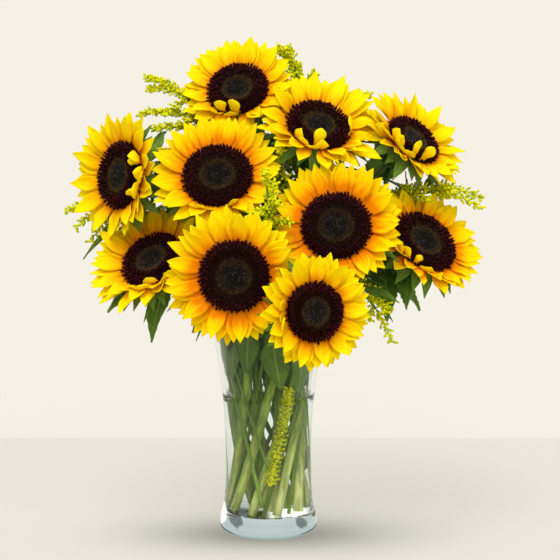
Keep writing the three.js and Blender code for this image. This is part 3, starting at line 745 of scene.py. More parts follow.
def has_room(bm, but=()):
    """Whether a new leaf or petal is clear of every finished piece but some."""
    own = tree_of(bm)
    return not any(own.overlap(tree) for name, tree in room.items() if name not in but)


def hides_heads(bm):
    """Whether a new leaf stands in front of flowers."""
    heads = [tree for name, tree in room.items() if name.startswith(("petals", "disc"))]
    tried = list(bm.verts)[::5]
    hidden = sum(any(tree.ray_cast(vert.co, AWAY, HEADS_WITHIN)[0] for tree in heads) for vert in tried)
    return hidden > HIDING * len(tried)


def fits_box(bm):
    """Whether a new leaf or branch stays in the frame's box, and outside the vase above its mouth."""
    low, high = (Vector(corner) / MM for corner in cad_box)
    for vert in bm.verts:
        if any(not low[i] - 3 < vert.co[i] < high[i] + 3 for i in range(3)):
            return False
        if vert.co.z < LOWEST_LEAF and vert.co.xy.length > RIM:
            return False
    return True


def sections(points, radii):
    """Where a round section stands at each point of a line."""
    across = ASIDE
    last = len(points) - 1
    found = []
    for i, (point, radius) in enumerate(zip(points, radii)):
        ahead = (points[min(i + 1, last)] - points[max(i - 1, 0)]).normalized()
        across = (across - ahead * across.dot(ahead)).normalized()
        turn = Matrix((across, ahead.cross(across), ahead)).transposed().to_4x4()
        found.append(Matrix.Translation(point) @ turn @ Matrix.Diagonal((radius, radius, 1, 1)))
    return found


def tube(bm, points, radii, sides):
    """A closed tube along some points, with a radius at each."""
    layer = lay_of(bm)
    places = sections(points, radii)
    ring = bmesh.ops.create_circle(bm, cap_ends=True, segments=sides, radius=1, matrix=places[0])["verts"]
    edges = list(dict.fromkeys(edge for vert in ring for edge in vert.link_edges))
    run = 0.0
    for i, place in enumerate(places):
        if i:
            grown = bmesh.ops.extrude_edge_only(bm, edges=edges)["geom"]
            ring = [g for g in grown if isinstance(g, bmesh.types.BMVert)]
            edges = [g for g in grown if isinstance(g, bmesh.types.BMEdge)]
            bmesh.ops.transform(bm, matrix=place @ places[i - 1].inverted(), verts=ring)
            run += (points[i] - points[i - 1]).length
        back = place.inverted()
        for vert in ring:
            local = back @ vert.co
            vert[layer] = (local.x, local.y, run / 10)
    bmesh.ops.holes_fill(bm, edges=edges, sides=sides)


def copies(bm, template, heights, places):
    """Copies of a small mesh at each place, with how far along, and a number of its own, for each."""
    made = start()
    layer = lay_of(made)
    for _ in places:
        made.from_mesh(template)
    verts = iter(list(made.verts))
    for place, share, own in places:
        for height in heights:
            vert = next(verts)
            vert.co = place @ vert.co
            vert[layer] = (share, height, own)
    add_made(bm, made)


def move(bm, matrix):
    bmesh.ops.transform(bm, matrix=matrix, verts=bm.verts)


def add_made(bm, made):
    """Adds one mesh that is being built to another."""
    mesh = bpy.data.meshes.new("made")
    made.to_mesh(mesh)
    made.free()
    bm.from_mesh(mesh)
    bpy.data.meshes.remove(mesh)


def add_if(fits, bm, made):
    """Adds one mesh that is being built to another where it fits, and says whether it does."""
    if fits:
        add_made(bm, made)
    else:
        made.free()
    return fits


def add_clear(bm, made, but=(), outside=False):
    """Adds a new leaf or stalk where it crosses nothing, and outside the vase hides no flower."""
    fits = not tree_of(made).overlap(tree_of(bm))
    fits = fits and (not outside or fits_box(made)) and has_room(made, but)
    return add_if(fits and not (outside and hides_heads(made)), bm, made)


def template_of(bm, name):
    """A small mesh to copy, and how high each of its vertices is, from 0 to 1."""
    mesh = bpy.data.meshes.new(name)
    bm.to_mesh(mesh)
    bm.free()
    low = min(v.co.z for v in mesh.vertices)
    high = max(v.co.z for v in mesh.vertices)
    return mesh, [(v.co.z - low) / (high - low) for v in mesh.vertices]


def upright(point, way, turn, size):
    """Where a small mesh stands that points along a way from a point."""
    facing = way.to_track_quat("Z", "Y").to_matrix().to_4x4()
    return Matrix.Translation(point) @ facing @ Matrix.Rotation(turn, 4, "Z") @ Matrix.Diagonal((*size, 1))


def drooping(base, way, length, share):
    """The point so far along a drooping leaf or branch."""
    return base + way * (share * length) - UP * (DROOP * share * share * length)


def raised(base, end):
    """How far and which way a leaf or branch starts out that droops to its end."""
    reach = Vector(end) - base
    return reach + UP * (DROOP * reach.length * 1.1)


def blade(bm, steps, width_steps, place, own):
    """A thin blade, from the function that gives the point so far along it and across it, from -1 to 1."""
    made = bmesh.ops.create_grid(bm, x_segments=steps, y_segments=width_steps, size=1)["verts"]
    layer = lay_of(bm)
    for vert in made:
        along, across = (vert.co.x + 1) / 2, vert.co.y
        vert[layer] = (along, across, own)
        vert.co = place(along, across)


def lathe(bm, profile, sides):
    """A body turned about the upright axis from a profile that starts and ends on it."""
    verts = [bm.verts.new((x, 0, z)) for x, z in profile]
    edges = [bm.edges.new(pair) for pair in zip(verts, verts[1:])]
    spun = {"geom": verts + edges, "axis": (0, 0, 1), "cent": (0, 0, 0), "angle": TURN, "steps": sides}
    bmesh.ops.spin(bm, use_merge=True, **spun)
    bmesh.ops.remove_doubles(bm, verts=bm.verts, dist=1e-4)


# Sunflower heads

Petal = namedtuple("Petal", "root inner outer across length width tip twist seed curled")


def head_matrix(flower):
    """The head's own frame: x to its right, y up its face and z the way it faces."""
    z = way_of(flower.faces)
    x = UP.cross(z).normalized()
    return Matrix.Translation(flower.at) @ Matrix((x, z.cross(x), z)).transposed().to_4x4()


def petal_form(flower, index, k, row, bend, share, lean=0.0):
    """The middle line and width of one petal, number k round the head in one of its rows.

    With a lean, petals on the viewer's side stand up more, and those on the far side are longer.
    """
    front = row is FRONT_ROW
    seed = 100 * (index + 1) + k
    angle = TURN * k / PETALS
    next_to = cos(TURN / PETALS)
    curled = front and any(cos(radians(a) - angle) > next_to for a in flower.curled)
    tilt = radians(CURLED.tilt if curled else row.tilt + row.tilt_spread * sway(seed) + bend)
    curl = radians(CURLED.curl if curled else row.curl + row.curl_spread * sway(seed + 0.1))
    outward = head_matrix(flower).to_3x3() @ polar(1, angle)
    near = -outward.y
    if not curled:
        tilt += lean * radians(NEAR_LEAN * max(near, 0) + FAR_LEAN * max(-near, 0))
    aside = max(-outward.x * STRETCHED.get(index, 0), 0)
    reach = (flower.reach - flower.disc) * (1 + lean * (0.05 + FAR_STRETCH * max(-near, 0) + aside))
    length = share * reach * (CURLED.length if curled else row.length * (0.92 + 0.16 * vary(seed + 0.2)))
    width = PETAL_WIDTH * (0.88 + 0.24 * vary(seed + 0.3))
    slant = radians(PETAL_SLANT) * sway(seed + 0.4)
    twist = radians(PETAL_TWIST) * sway(seed + 0.5)
    if curled and lean:
        head_on = -way_of(flower.faces).y
        tilt = radians(82 - 46 * smooth((head_on - 0.7) / 0.2) + 16 * sway(seed + 0.5))
        curl = radians(26 + 40 * sway(seed + 0.6))
        smaller = SMALL_CURLED.get(index, 1)
        length *= smaller * (0.72 + 0.3 * vary(seed + 0.7))
        width *= smaller * (0.68 + 0.3 * vary(seed + 0.8))
        slant = radians(44) * sway(seed + 0.85)
        twist = radians(90) * sway(seed + 0.9)
    elif lean:
        slant += radians(16) * sway(seed + 0.75)
        twist += radians(34) * sway(seed + 0.77)
    height = {FRONT_ROW: 0.5, BACK_ROW: -0.5}.get(row, 0) * PETAL_ROOT
    inner = polar(cos(tilt), angle, sin(tilt))
    outer = polar(cos(tilt + curl), angle + slant, sin(tilt + curl))
    across = polar(1, angle + TURN / 4)
    tip = polar(flower.disc - 0.5, angle, height) + (inner + outer) * (length / 2)
    root = polar(flower.disc - 2.4, angle, height)
    return Petal(root, inner, outer, across, length, width, tip, twist, seed, curled)


def add_petal(bm, petal, golden):
    """One petal: dished, with two folds along it, a waved edge and a drawn-out tip."""
    steps = 18 if petal.curled else 12
    stretch = 0.45 * petal.length
    handles = petal.root + petal.inner * stretch, petal.tip - petal.outer * stretch
    middles = geometry.interpolate_bezier(petal.root, *handles, petal.tip, steps + 1)
    seed = petal.seed
    wave = TURN * vary(seed + 0.61)
    skew = 0.16 * sway(seed + 0.62)
    outline = CURLED_OUTLINE if petal.curled else PETAL_OUTLINE
    low = 0.5 - 0.5 * petal.inner.y
    # Each petal's golden tone follows how low it points on the head, between the flower's values for its
    # foot and its top: partly the petals' own tone and partly painted shade
    tone = golden[0] * low + golden[1] * (1 - low) + 0.12 * sway(seed + 0.65)

    def place(along, across):
        i = round(along * steps)
        ahead = (middles[min(i + 1, steps)] - middles[max(i - 1, 0)]).normalized()
        aside = turned(petal.across, petal.inner, petal.twist * smooth(along * 1.6))
        aside = (aside - ahead * aside.dot(ahead)).normalized()
        normal = ahead.cross(aside)
        half = petal.width / 2 * between(outline, along)
        bulge = sin(pi * min(max(along, 0.02), 0.98)) ** 0.7
        fold = exp(-(((abs(across) - 0.36) / 0.2) ** 2))
        rise = -1.5 * (1 - across * across) * bulge
        rise += -0.55 * fold * bulge
        rise += 0.9 * across * across * sin(TURN * 1.3 * along + wave) * bulge
        rise += 0.12 * half * across * across * smooth((along - 0.6) / 0.4)
        drift = skew * petal.width * sin(pi * along)
        return middles[i] + aside * (across * half + drift) + normal * rise

    blade(bm, steps, 6, place, tone)


def disc_rise(share):
    """How high the top of the florets is over the plate of the head, so far out."""
    band = BAND * exp(-(((share - BAND_AT) / 0.16) ** 2))
    return (DISC_HEIGHT + band) * (1 - 0.55 * smooth((share - 0.88) / 0.12))


def bud_template():
    bm = bmesh.new()
    bmesh.ops.create_uvsphere(bm, u_segments=5, v_segments=3, radius=1)
    return template_of(bm, "bud")


def floret_template():
    """An open floret: a tube that widens to five teeth, and the tip of its style standing out of it."""
    bm = bmesh.new()
    middle = Matrix.Translation((0, 0, 0.3))
    bmesh.ops.create_cone(bm, cap_ends=True, segments=5, radius1=0.3, radius2=0.6, depth=0.6, matrix=middle)
    top = max(bm.faces, key=lambda face: face.calc_center_median().z)
    bmesh.ops.subdivide_edges(bm, edges=list(top.edges), cuts=1)
    bm.faces.ensure_lookup_table()
    top = max(bm.faces, key=lambda face: face.calc_center_median().z)
    for i, vert in enumerate(top.verts):
        vert.co.z += 0.16 if i % 2 else -0.06
    bmesh.ops.inset_individual(bm, faces=[top], thickness=0.16, depth=-0.25)
    style = {"radius1": 0.2, "radius2": 0.04, "depth": 0.64, "matrix": Matrix.Translation((0, 0, 0.68))}
    bmesh.ops.create_cone(bm, cap_ends=True, segments=3, **style)
    return template_of(bm, "floret")


def add_disc(bm, flower, index, bud, floret):
    radius = flower.disc - DISC_INSET
    shares = [i / 14 for i in range(15)]
    plate = PETAL_ROOT + 0.3
    profile = [(radius * s, plate + max(disc_rise(s) - 2.2, 0.5)) for s in shares]
    lathe(bm, [(0, plate), (radius, plate)] + profile[::-1], 32)
    lay_on(bm, lambda vert: (vert.co.xy.length / radius, 0.0, 0.3))
    buds, florets = [], []
    for i in range(BUDS + OPEN_FLORETS):
        opened = i - BUDS
        if opened < 0:
            share = OPEN_FROM * sqrt((i + 0.5) / BUDS)
        else:
            share = sqrt(OPEN_FROM**2 + (1 - OPEN_FROM**2) * (opened + 0.5) / OPEN_FLORETS)
        angle = GOLDEN_TURN * i
        seed = 10 * (index + 1) + i * 0.013
        own = vary(seed)
        outward = polar(1, angle)
        base = polar(radius * share, angle, plate + disc_rise(share) - 2.0)
        if opened < 0:
            near_ring = smooth((share - 0.3) / (OPEN_FROM - 0.3))
            way = (UP + outward * (-0.35 * near_ring)).normalized()
            size = 0.82 + 0.12 * own
            tall = 1.3 + 1.3 * near_ring + 0.5 * own
            buds.append((upright(base + UP * 0.5, way, angle, (size, size, tall)), share, own))
        else:
            lean = -0.35 + 1.95 * smooth((share - OPEN_FROM) / (1 - OPEN_FROM)) + 0.7 * (own - 0.5)
            aside = polar(0.7 * sway(seed + 0.4), angle + TURN / 4)
            way = (UP + outward * lean + aside).normalized()
            tall = 3.6 + 2.6 * vary(seed + 0.7)
            wide = 1.7 + 0.4 * own
            florets.append((upright(base, way, angle, (wide, wide, tall)), share, own))
    copies(bm, *bud, buds)
    copies(bm, *floret, florets)


def bract_form(flower, index, k, bend, share):
    seed = 100 * (index + 1) + k + 0.7
    tilt = radians(BRACT["tilt"] + BRACT["spread"] * sway(seed) + bend)
    length = share * BRACT["length"] * (0.85 + 0.3 * vary(seed + 0.1))
    angle = TURN * k / CUP_SIDES
    outer = polar(cos(tilt), angle, sin(tilt))
    root = polar(flower.disc - 2.8, angle, CUP_TOP - 0.9)
    return root, outer, polar(1, angle + TURN / 4), length, root + outer * length, vary(seed + 0.2)


def add_bract(bm, bract):
    """A pointed green bract behind the petals, whose tip bends back."""
    root, outer, across, length, _, own = bract
    normal = outer.cross(across)
    start_at = root - outer * 3

    def place(along, aside):
        half = BRACT["width"] / 2 * between(BRACT_OUTLINE, along)
        droop = -2.5 * (own - 0.3) * along**3
        keel = 0.16 * half * abs(aside)
        middle = start_at + outer * ((length + 3) * along)
        return middle + across * (aside * half) + normal * (droop + keel)

    blade(bm, 8, 6, place, own)


def add_cup(bm, flower):
    """The green cup that carries the plate of the head."""
    rim = flower.disc - 2.5
    levels = [(rim, CUP_TOP), (rim - 0.5, CUP_TOP - 1.8), (0.82 * rim, -7), (0.62 * flower.disc, -11)]
    levels += [(0.42 * flower.disc, -14.5), (9.0, -18), (6.6, -CUP_DEPTH), (0, -CUP_DEPTH)]
    plate = [(0, PETAL_ROOT), (rim - 1.5, PETAL_ROOT), (rim - 1.5, CUP_TOP)]
    lathe(bm, plate + levels, 30)
    lay_on(bm, lambda vert: (vert.co.x / rim, vert.co.y / rim, vert.co.z / 10))


def add_leaf(bm, base, way, length, width, own, roll=0.0):
    """A leaf whose midrib droops, whose sides rise from the midrib, and whose edge is toothed."""
    side = turned(way.cross(UP).normalized(), way, radians(roll))
    teeth = max(7, round(length / 5.5))

    def middle(s):
        return drooping(base, way, length, s)

    def place(along, across):
        ahead = (middle(along + 0.01) - middle(along - 0.01)).normalized()
        normal = side.cross(ahead).normalized()
        half = width / 2 * between(LEAF_OUTLINE, along)
        tooth = 1 - 2 * abs((along * teeth) % 1.0 - 0.5)
        toothed = 0.12 if width >= BROAD else 0
        half *= 1 + toothed * tooth * smooth((abs(across) - 0.6) / 0.4) * smooth((along - 0.1) / 0.1)
        vein = cos(TURN * (along * SIDE_VEINS - abs(across) * VEIN_SLANT))
        rise = 0.2 * half * abs(across) - 0.3 * (1 - abs(across)) ** 3 + 0.22 * vein * abs(across)
        rise += 0.07 * width * across * across * sin(TURN * (1.6 * along + own))
        return middle(along) - side * (across * half) + normal * rise

    steps = (2 * teeth, 8) if width >= BROAD else (12, 4)
    blade(bm, *steps, place, own)


def own_leaves(bm, name, curve, corners):
    """The leaves of one stem, each turned as the frame has it."""
    for i, leaf in enumerate(LEAVES):
        if leaf.on != name:
            continue
        at, axis = curve.at(leaf.share), curve.tangent(leaf.share)
        ways = [turned(way_of(leaf.points), axis, radians(turn)) for turn in TURNS]
        droop = UP * (DROOP * leaf.length)
        way = corners.taken(ways, lambda w: at + w * leaf.length - droop)
        add_leaf(bm, at, way, leaf.length, leaf.width, vary(i + 0.5))


def number_of(index):
    return f"{index + 1:02d}"


def build_stem_and_disc(index, flower, bud, floret):
    number = number_of(index)
    matrix = head_matrix(flower)
    disc = start()
    add_disc(disc, flower, index, bud, floret)
    move(disc, matrix)
    finish_piece(f"disc_{number}", disc, ["disc"], [f"sunflower_{number}_disc"])

    curve = flower_curve(flower)
    stem = start()
    add_cup(stem, flower)
    move(stem, matrix)
    route = curve.points(22)
    route += [curve.mouth.lerp(curve.foot, (i + 1) / 10) for i in range(10)]
    thick = STEM_RADIUS * (0.74 + 0.26 * vary(index + 0.4))
    radii = [thick + (STEM_NECK - thick) * smooth(1 - i / 4) for i in range(len(route))]
    tube(stem, route, radii, 14)
    finish_piece(f"stem_{number}", stem, ["stem"], [f"sunflower_{number}_stem"])


def flower_curve(flower):
    start_at = head_matrix(flower) @ Vector((0, 0, 2 - CUP_DEPTH))
    return Curve(start_at, -way_of(flower.faces), flower.bend, flower.ring, flower.slot)


def build_leaves(index, flower):
    """The bracts and leaves that the frame has, and more of both where there is room."""
    number = number_of(index)
    node, stem = f"sunflower_{number}_stem", (f"stem_{number}",)
    matrix, curve, found = head_matrix(flower), flower_curve(flower), Corners(node)
    greens = start()
    for k in range(CUP_SIDES):
        forms = [bract_form(flower, index, k, *form) for form in BRACT_TRIES]
        add_bract(greens, found.taken(forms, lambda form: matrix @ form[4]))
    move(greens, matrix)
    own_leaves(greens, f"sunflower_{number}", curve, found)
    own_pieces = stem + (f"petals_{number}", f"disc_{number}")
    for k in range(CUP_SIDES):
        for bend, share in BRACT_TRIES:
            bract = start()
            add_bract(bract, bract_form(flower, index, k + 0.5, bend + 13, share * 0.9))
            move(bract, matrix)
            if add_if(has_room(bract, own_pieces), greens, bract):
                break
    add_reaching_leaves(greens, curve, index, stem)
    add_foliage(greens, curve, FLOWER_LEAVES, index, stem)
    add_foliage(greens, curve, NARROW_LEAVES, index + 0.5, stem)
    add_mouth_leaves(greens, curve, index, stem)
    finish_piece(f"leaves_{number}", greens, ["leaf"], [node], LEAF_THICKNESS, False)


def add_wall_leaf(bm, angle, top, length, width, lean, own):
    """A leaf that lies against the inside of the vase, its tip down."""

    def place(along, across):
        z = top - length * along
        radius = between(VASE_INSIDE, z) - 1.5 - 0.5 * cos(TURN * (3 * along + own)) * abs(across)
        half = width / 2 * between(HANGING_OUTLINE, along) * (1 + 0.1 * ((along * 9) % 1.0))
        return polar(radius, angle + (lean * along + across * half) / radius, z)

    blade(bm, 16, 8, place, own)


def build_mouth_leaves():
    """Leaves in the mouth of the vase, above the water, wherever the stems leave room for one."""
    leaves = start()
    for i in range(MOUTH_LEAVES):
        for attempt in range(12):
            seed = i + 0.173 * attempt
            angle = TURN * (i + 0.6 * vary(seed)) / MOUTH_LEAVES
            length, top = 60 - 2.6 * attempt, 221 - 26 * vary(seed + 0.4) * (i % 2)
            length = min(length, top - WATER - 2)
            width = (0.36 + 0.1 * vary(seed + 0.2)) * length
            leaf = start()
            add_wall_leaf(leaf, angle, top, length, width, 24 * sway(seed + 0.3), vary(seed + 0.7))
            if add_clear(leaves, leaf):
                break
    finish_piece("leaves_in_mouth", leaves, ["leaf"], ["sunflower_07_stem"], THIN_LEAF, False)


def build_loose_stalks(steps=12):
    """Thin stalks near the wall of the vase, which cross the stems where they have room."""
    stalks = start()

    def near_wall(way, z, thick):
        radius = between(VASE_INSIDE, z) - thick - 0.5 - 2.1 * smooth((z - 130) / 35)
        return polar(radius, radians(way - 90), z)

    for first, top, last, low, thick in STALKS:
        for aside in STALK_TURNS:
            ends = near_wall(first + aside, top, thick), near_wall(last + aside, low, thick)
            points, radii = [], []
            for i in range(steps + 1):
                share = i / steps
                way, z = first + (last - first) * share + aside, top + (low - top) * share
                points.append(near_wall(way, z, thick).lerp(ends[0].lerp(ends[1], share), 0.35))
                radii.append(thick * (0.75 + 0.25 * i / steps))
            stalk = start()
            tube(stalk, points, radii, 8)
            if add_clear(stalks, stalk, ("vase_water",)):
                break
    finish_piece("loose_stalks", stalks, ["twig"], ["sunflower_08_stem"])


def add_mouth_leaves(greens, curve, seed, own_pieces):
    """Leaves that hang from a stem into the mouth of the vase, above the water."""
    axis = (curve.mouth - curve.foot).normalized()
    for i, drop in enumerate(HANGING_FROM):
        at = curve.mouth.lerp(curve.foot, drop)
        for attempt in range(9 * len(HANGING_LENGTHS)):
            out = around(axis, radians(40 * attempt + 130 * i))
            length = HANGING_LENGTHS[attempt // 9]
            way = (out * (0.35 + 0.5 * vary(attempt + seed)) - axis).normalized()
            leaf = start()
            add_leaf(leaf, at, way, length, (0.2 if i % 2 else 0.44) * length, vary(seed + i * 0.31))
            if add_clear(greens, leaf, own_pieces):
                break


def add_reaching_leaves(greens, curve, index, own_pieces):
    for number, share, end, width in REACHING_LEAVES:
        if number != index:
            continue
        for aside in (0, 0.03, 0.06, 0.1, 0.15, 0.2):
            base = curve.at(share + aside)
            reach = raised(base, end)
            leaf = start()
            add_leaf(leaf, base, reach.normalized(), reach.length, width, vary(width))
            if add_clear(greens, leaf, own_pieces):
                break


def add_foliage(greens, curve, kind, seed, own_pieces):
    """More leaves, one at each of some shares of a stem, where there is room and no flower behind."""
    shares, length, width = kind
    for i, share in enumerate(shares):
        at, axis = curve.at(share), -curve.tangent(share)
        first = around(axis, GOLDEN_TURN * (i + seed * 1.7))
        for turn in TURNS:
            size = length * (0.8 + 0.35 * vary(seed + i * 0.37)) * (1 - abs(turn) / 500)
            rise = 0.15 + 0.75 * vary(seed * 3 + i)
            way = (axis * rise + turned(first, axis, radians(turn))).normalized()
            leaf = start()
            roll = LEAF_ROLL * sway(seed * 5 + i * 1.3)
            add_leaf(leaf, at, way, size, width * size / length, vary(seed + i * 0.71), roll)
            if add_clear(greens, leaf, own_pieces, outside=True):
                break


def start_petals(index, flower):
    """Which form each petal of the frame took, and the room that they take."""
    matrix = head_matrix(flower)
    number = number_of(index)
    found = Corners(f"sunflower_{number}_petals")
    petals = start()
    taken = []
    for k in range(PETALS):
        row, tries = (FRONT_ROW, FRONT_TRIES) if k % 2 == 0 else (BACK_ROW, BACK_TRIES)
        forms = [(row, *form, petal_form(flower, index, k, row, *form)) for form in tries]
        taken.append(found.taken(forms, lambda form: matrix @ form[3].tip))
        add_petal(petals, taken[k][3], flower.golden)
    move(petals, matrix)
    room[f"petals_{number}"] = tree_of(petals)
    petals.free()
    return taken


def build_petals(index, flower, taken):
    """The petals of the frame, leaning where there is room, and a middle row where there is room for it."""
    number = number_of(index)
    own_pieces = (f"petals_{number}", f"disc_{number}", f"stem_{number}")
    matrix = head_matrix(flower)
    petals = start()

    def add_first(forms, last=False):
        for i, form in enumerate(forms):
            made = start()
            add_petal(made, form, flower.golden)
            move(made, matrix)
            if add_if(has_room(made, own_pieces) or (last and i == len(forms) - 1), petals, made):
                return

    for k, (row, bend, share, _) in enumerate(taken):
        leans = (1, 0.6, 0.3, 0)
        add_first([petal_form(flower, index, k, row, bend, share, lean) for lean in leans], last=True)
    low, high = flower.standing
    for k in range(PETALS):
        if vary(7 * index + 3.1 * k) > MIDDLE_SHARE:
            continue
        way = 360 * (k + 0.5) / PETALS
        near = low < way < high or low < way - 360 < high
        row = STANDING_ROW if near and vary(5.3 * k + index) < STANDING_SHARE else MIDDLE_ROW
        add_first([petal_form(flower, index, k + 0.5, row, *form, 1) for form in MIDDLE_TRIES])
    skins, node = ["petal_front", "petal_back"], f"sunflower_{number}_petals"
    finish_piece(f"petals_{number}", petals, skins, [node], PETAL_THICKNESS, False)


# Goldenrod


def floret_ball():
    bm = bmesh.new()
    bmesh.ops.create_icosphere(bm, subdivisions=1, radius=1)
    return template_of(bm, "goldenrod_floret")


def add_plume(bm, base, way, length, seed, balls):
    """One branch of goldenrod: a drooping stalk with short twigs all round, and florets on each."""
    steps = 8

    def at(share):
        return drooping(base, way, length, share)

    points = [at(i / steps) for i in range(steps + 1)]
    tube(bm, points, [0.7 - 0.45 * i / steps for i in range(steps + 1)], 5)
    twigs = round(length / TWIG_STEP)
    for m in range(twigs):
        share = 0.06 + 0.94 * (m + 0.5) / twigs
        ahead = (at(min(share + 0.02, 1)) - at(share - 0.02)).normalized()
        out = around(ahead, GOLDEN_TURN * m + seed)
        twig_way = (ahead * 0.75 + out).normalized()
        reach = BELLY * (1.7 - 0.6 * share) * (0.65 + 0.6 * vary(seed + m))
        add_florets(balls, at(share), twig_way, ahead, reach, seed + m * 1.7)


def add_florets(balls, base, way, ahead, reach, seed):
    """The florets of one twig, from near its root to its tip."""
    for n in range(5):
        along = (0.2 + 0.21 * n) * reach
        side = polar(1, TURN * vary(seed + 0.3 * n))
        size = 0.95 + 0.6 * vary(seed + 0.21 * n)
        point = base + way * along + side * 0.8
        facing = (way + ahead * 0.4 + side * 0.4).normalized()
        place = upright(point, facing, seed, (size, size, size * 1.3))
        balls.append((place, vary(seed + 0.37 * n), 1 - min(along / 6, 1)))


def spray_curve(spray):
    way = way_of(spray.points)
    start_at = Vector(spray.tip) - way * spray.length + UP * (DROOP * spray.length)
    return Curve(start_at, -way, spray.bend, spray.ring, spray.slot)


def build_spray(index, spray, ball):
    name = f"goldenrod_{spray.name}"
    found = Corners(name)
    curve = spray_curve(spray)
    green = start()
    route = curve.points(18)
    radii = [SPRAY_NECK + (SPRAY_RADIUS - SPRAY_NECK) * smooth(i / 5) for i in range(len(route))]
    tube(green, route + [curve.foot], radii + [SPRAY_RADIUS], 8)
    balls = []
    for j in range(spray.branches):
        seed = 50 * (index + 30) + j
        share = FLOWERING * j / spray.branches
        axis = -curve.tangent(share)
        length = spray.length * (1 if j == 0 else 0.8 + 0.4 * vary(seed))
        base = curve.at(share)
        first = TURN * (0.38 * j + 0.15 * vary(seed + 0.5))
        outs = [around(axis, first + radians(turn)) for turn in TURNS]
        ways = [axis if j == 0 else (axis + o * 0.9).normalized() for o in outs]
        droop = UP * (DROOP * length)
        taken = found.taken(ways, lambda w: base + w * length - droop)
        add_plume(green, base, taken, length, seed, balls)
    if spray.covered:
        cover_stem(balls, curve, spray.covered)
    finish_spray("", spray, green, balls, ball)


def finish_spray(kind, spray, green, balls, ball):
    """The two pieces of a spray: its green parts and its florets."""
    nodes = [f"goldenrod_{spray.name}"]
    finish_piece(f"{kind}stalks_{spray.name}", green, ["twig"], nodes)
    flowers = start()
    copies(flowers, *ball, balls)
    finish_piece(f"{kind}florets_{spray.name}", flowers, ["goldenrod"], nodes)


def build_side_plumes(index, spray, ball):
    """More branches on a spray, each where there is room for it and no flower behind."""
    curve = spray_curve(spray)
    own_pieces = (f"stalks_{spray.name}", f"florets_{spray.name}")
    green = start()
    balls, stood = [], []

    def stands(base, way, length, seed):
        proxy = start()
        line = [drooping(base, way, length, share) for share in (0.25, 0.4, 0.6, 0.8, 1)]
        tube(proxy, line, [3.6, 3.6, 3.4, 3, 2], 6)
        own = tree_of(proxy)
        fits = fits_box(proxy) and has_room(proxy, own_pieces) and not hides_heads(proxy)
        fits = fits and not any(own.overlap(tree) for tree in stood)
        proxy.free()
        if fits:
            stood.append(own)
            add_plume(green, base, way, length, seed, balls)
        return fits

    for name, share, end, number in REACHING:
        if name == spray.name:
            for aside in (0, 0.06, 0.12, 0.2, 0.3):
                base = curve.at(share + aside)
                reach = raised(base, end)
                if stands(base, reach.normalized(), reach.length, number * 3.3):
                    break
    for j in range(SIDE_PLUMES):
        seed = 50 * (index + 50) + j
        share = 0.03 + FLOWERING * 1.1 * j / SIDE_PLUMES
        axis, base = -curve.tangent(share), curve.at(share)
        length = spray.length * (0.5 + 0.5 * vary(seed))
        out = around(axis, GOLDEN_TURN * j + seed)
        for turn in TURNS:
            way = (axis * 0.8 + turned(out, axis, radians(turn))).normalized()
            if stands(base, way, length, seed):
                break
    if balls:
        finish_spray("side_", spray, green, balls, ball)
    else:
        green.free()


def build_spray_leaves(index, spray):
    """The narrow leaves of a spray: those that the frame has, and more where there is room."""
    name = f"goldenrod_{spray.name}"
    curve = spray_curve(spray)
    leaves = start()
    own_leaves(leaves, name, curve, Corners(name))
    add_foliage(leaves, curve, SPRAY_LEAVES, index + 0.3, (f"stalks_{spray.name}",))
    finish_piece(f"leaves_{spray.name}", leaves, ["leaf"], [name], THIN_LEAF, False)


def cover_stem(balls, curve, heights):
    """Florets on twigs round the straight stretch of a stem, between two heights."""
    line = curve.foot - curve.mouth
    ahead = -line.normalized()
    high, low = ((curve.mouth.z - z) / -line.z for z in heights)
    for m in range(COVERING_TWIGS):
        base = curve.mouth + line * (high + (low - high) * m / COVERING_TWIGS)
        out = around(ahead, GOLDEN_TURN * m)
        to_glass = out.dot(Vector((base.x, base.y, 0)).normalized())
        reach = COVERING * (2 - max(1.6 * to_glass, -to_glass))
        add_florets(balls, base, (out + ahead * 0.5).normalized(), ahead, reach, m * 1.3)


# Vase and water


def wall_line(steps):
    """Points on the outside of the wall, on a smooth curve through its measured points."""
    corners = [Vector((r, 0, z)) for r, z in VASE_WALL]
    line = []
    for i in range(len(corners) - 1):
        a, b, c, d = (corners[min(max(i + j, 0), len(corners) - 1)] for j in (-1, 0, 1, 2))
        line += geometry.interpolate_bezier(b, b + (c - a) / 6, c - (d - b) / 6, c, steps + 1)[:-1]
    return [(p.x, p.z) for p in line + [corners[-1]]]


def inside_line(wall, into_glass):
    """The inside of the vase from the middle of its floor up, so far into the glass."""
    side = [(r - GLASS + into_glass, z) for r, z in wall if z > VASE_FLOOR + 6]
    low = side[0][0]
    line = [(0, VASE_FLOOR - into_glass)]
    for a in (1.57, 1.1, 0.6, 0.2):
        line.append((low - 0.9 - 2.6 * cos(a), VASE_FLOOR + 2.5 - 2.5 * sin(a) - into_glass))
    return line + side


def build_vase():
    wall = wall_line(5)
    glass = start()
    middle, half = wall[-1][0] - GLASS / 2, GLASS / 2
    angles = [pi * i / 8 for i in range(9)]
    lip = [(middle + half * cos(a), MOUTH - half + half * sin(a)) for a in angles]
    inside = inside_line(wall, 0)
    lathe(glass, VASE_UNDERSIDE + wall[:-1] + lip + inside[:-1][::-1], VASE_SIDES)
    finish_piece("glass_vase", glass, ["glass"], ["vase"])
    full = inside_line(wall, INTO_GLASS)
    body = [p for p in full if p[1] < WATER - 1]
    edge = between([(z, r) for r, z in full], WATER)
    water = start()
    lathe(water, body + [(edge, WATER), (0, WATER)], VASE_SIDES)
    finish_piece("vase_water", water, ["water"], ["water"])


# Studio


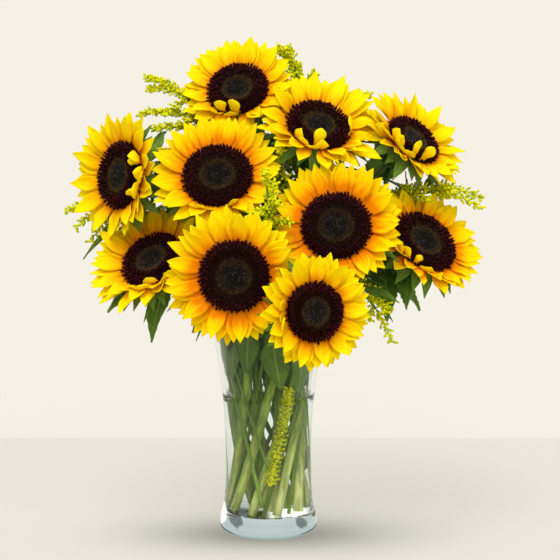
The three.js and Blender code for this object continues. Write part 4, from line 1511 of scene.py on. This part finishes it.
def build_studio():
    sheet = bmesh.new()
    bmesh.ops.create_grid(sheet, x_segments=1, y_segments=1, size=60)
    mesh = bpy.data.meshes.new("studio_floor")
    sheet.to_mesh(mesh)
    sheet.free()
    mesh.materials.append(floor_finish())
    ground = bpy.data.objects.new("studio_floor", mesh)
    bpy.context.scene.collection.objects.link(ground)

    world = bpy.data.worlds.new("studio")
    bpy.context.scene.world = world
    world.use_nodes = True
    sky = world.node_tree.nodes["Background"]
    sky.inputs["Color"].default_value = (*SKY, 1)
    sky.inputs["Strength"].default_value = SKY_LIGHT

    for light in LIGHTS:
        add_light(*light)
    bpy.context.scene.view_settings.view_transform = "Standard"


def add_light(name, comes_from, spread, strength):
    light = bpy.data.lights.new(name, "SUN")
    light.angle = radians(spread)
    light.energy = strength
    lamp = bpy.data.objects.new(name, light)
    lamp.rotation_euler = (-Vector(comes_from)).to_track_quat("-Z", "Y").to_euler()
    bpy.context.scene.collection.objects.link(lamp)


def build_camera():
    lens = bpy.data.cameras.new("camera")
    lens.lens = CAMERA_LENS
    lens.sensor_width = CAMERA_SENSOR
    camera = bpy.data.objects.new("camera", lens)
    camera.location = CAMERA_AT
    camera.rotation_euler = (radians(90 - CAMERA_PITCH), 0, 0)
    bpy.context.scene.collection.objects.link(camera)
    bpy.context.scene.camera = camera


def main():
    build_camera()
    build_studio()
    bud, floret, ball = bud_template(), floret_template(), floret_ball()
    for index, spray in enumerate(SPRAYS):
        build_spray(index, spray, ball)
    build_vase()
    for index, flower in enumerate(FLOWERS):
        build_stem_and_disc(index, flower, bud, floret)
    build_mouth_leaves()
    build_loose_stalks()
    petals = [start_petals(index, flower) for index, flower in enumerate(FLOWERS)]
    for index, flower in enumerate(FLOWERS):
        build_petals(index, flower, petals[index])
    for index, spray in enumerate(SPRAYS):
        build_side_plumes(index, spray, ball)
    for index, flower in enumerate(FLOWERS):
        build_leaves(index, flower)
    for index, spray in enumerate(SPRAYS):
        build_spray_leaves(index, spray)
    for template, _ in (bud, floret, ball):
        bpy.data.meshes.remove(template)


main()
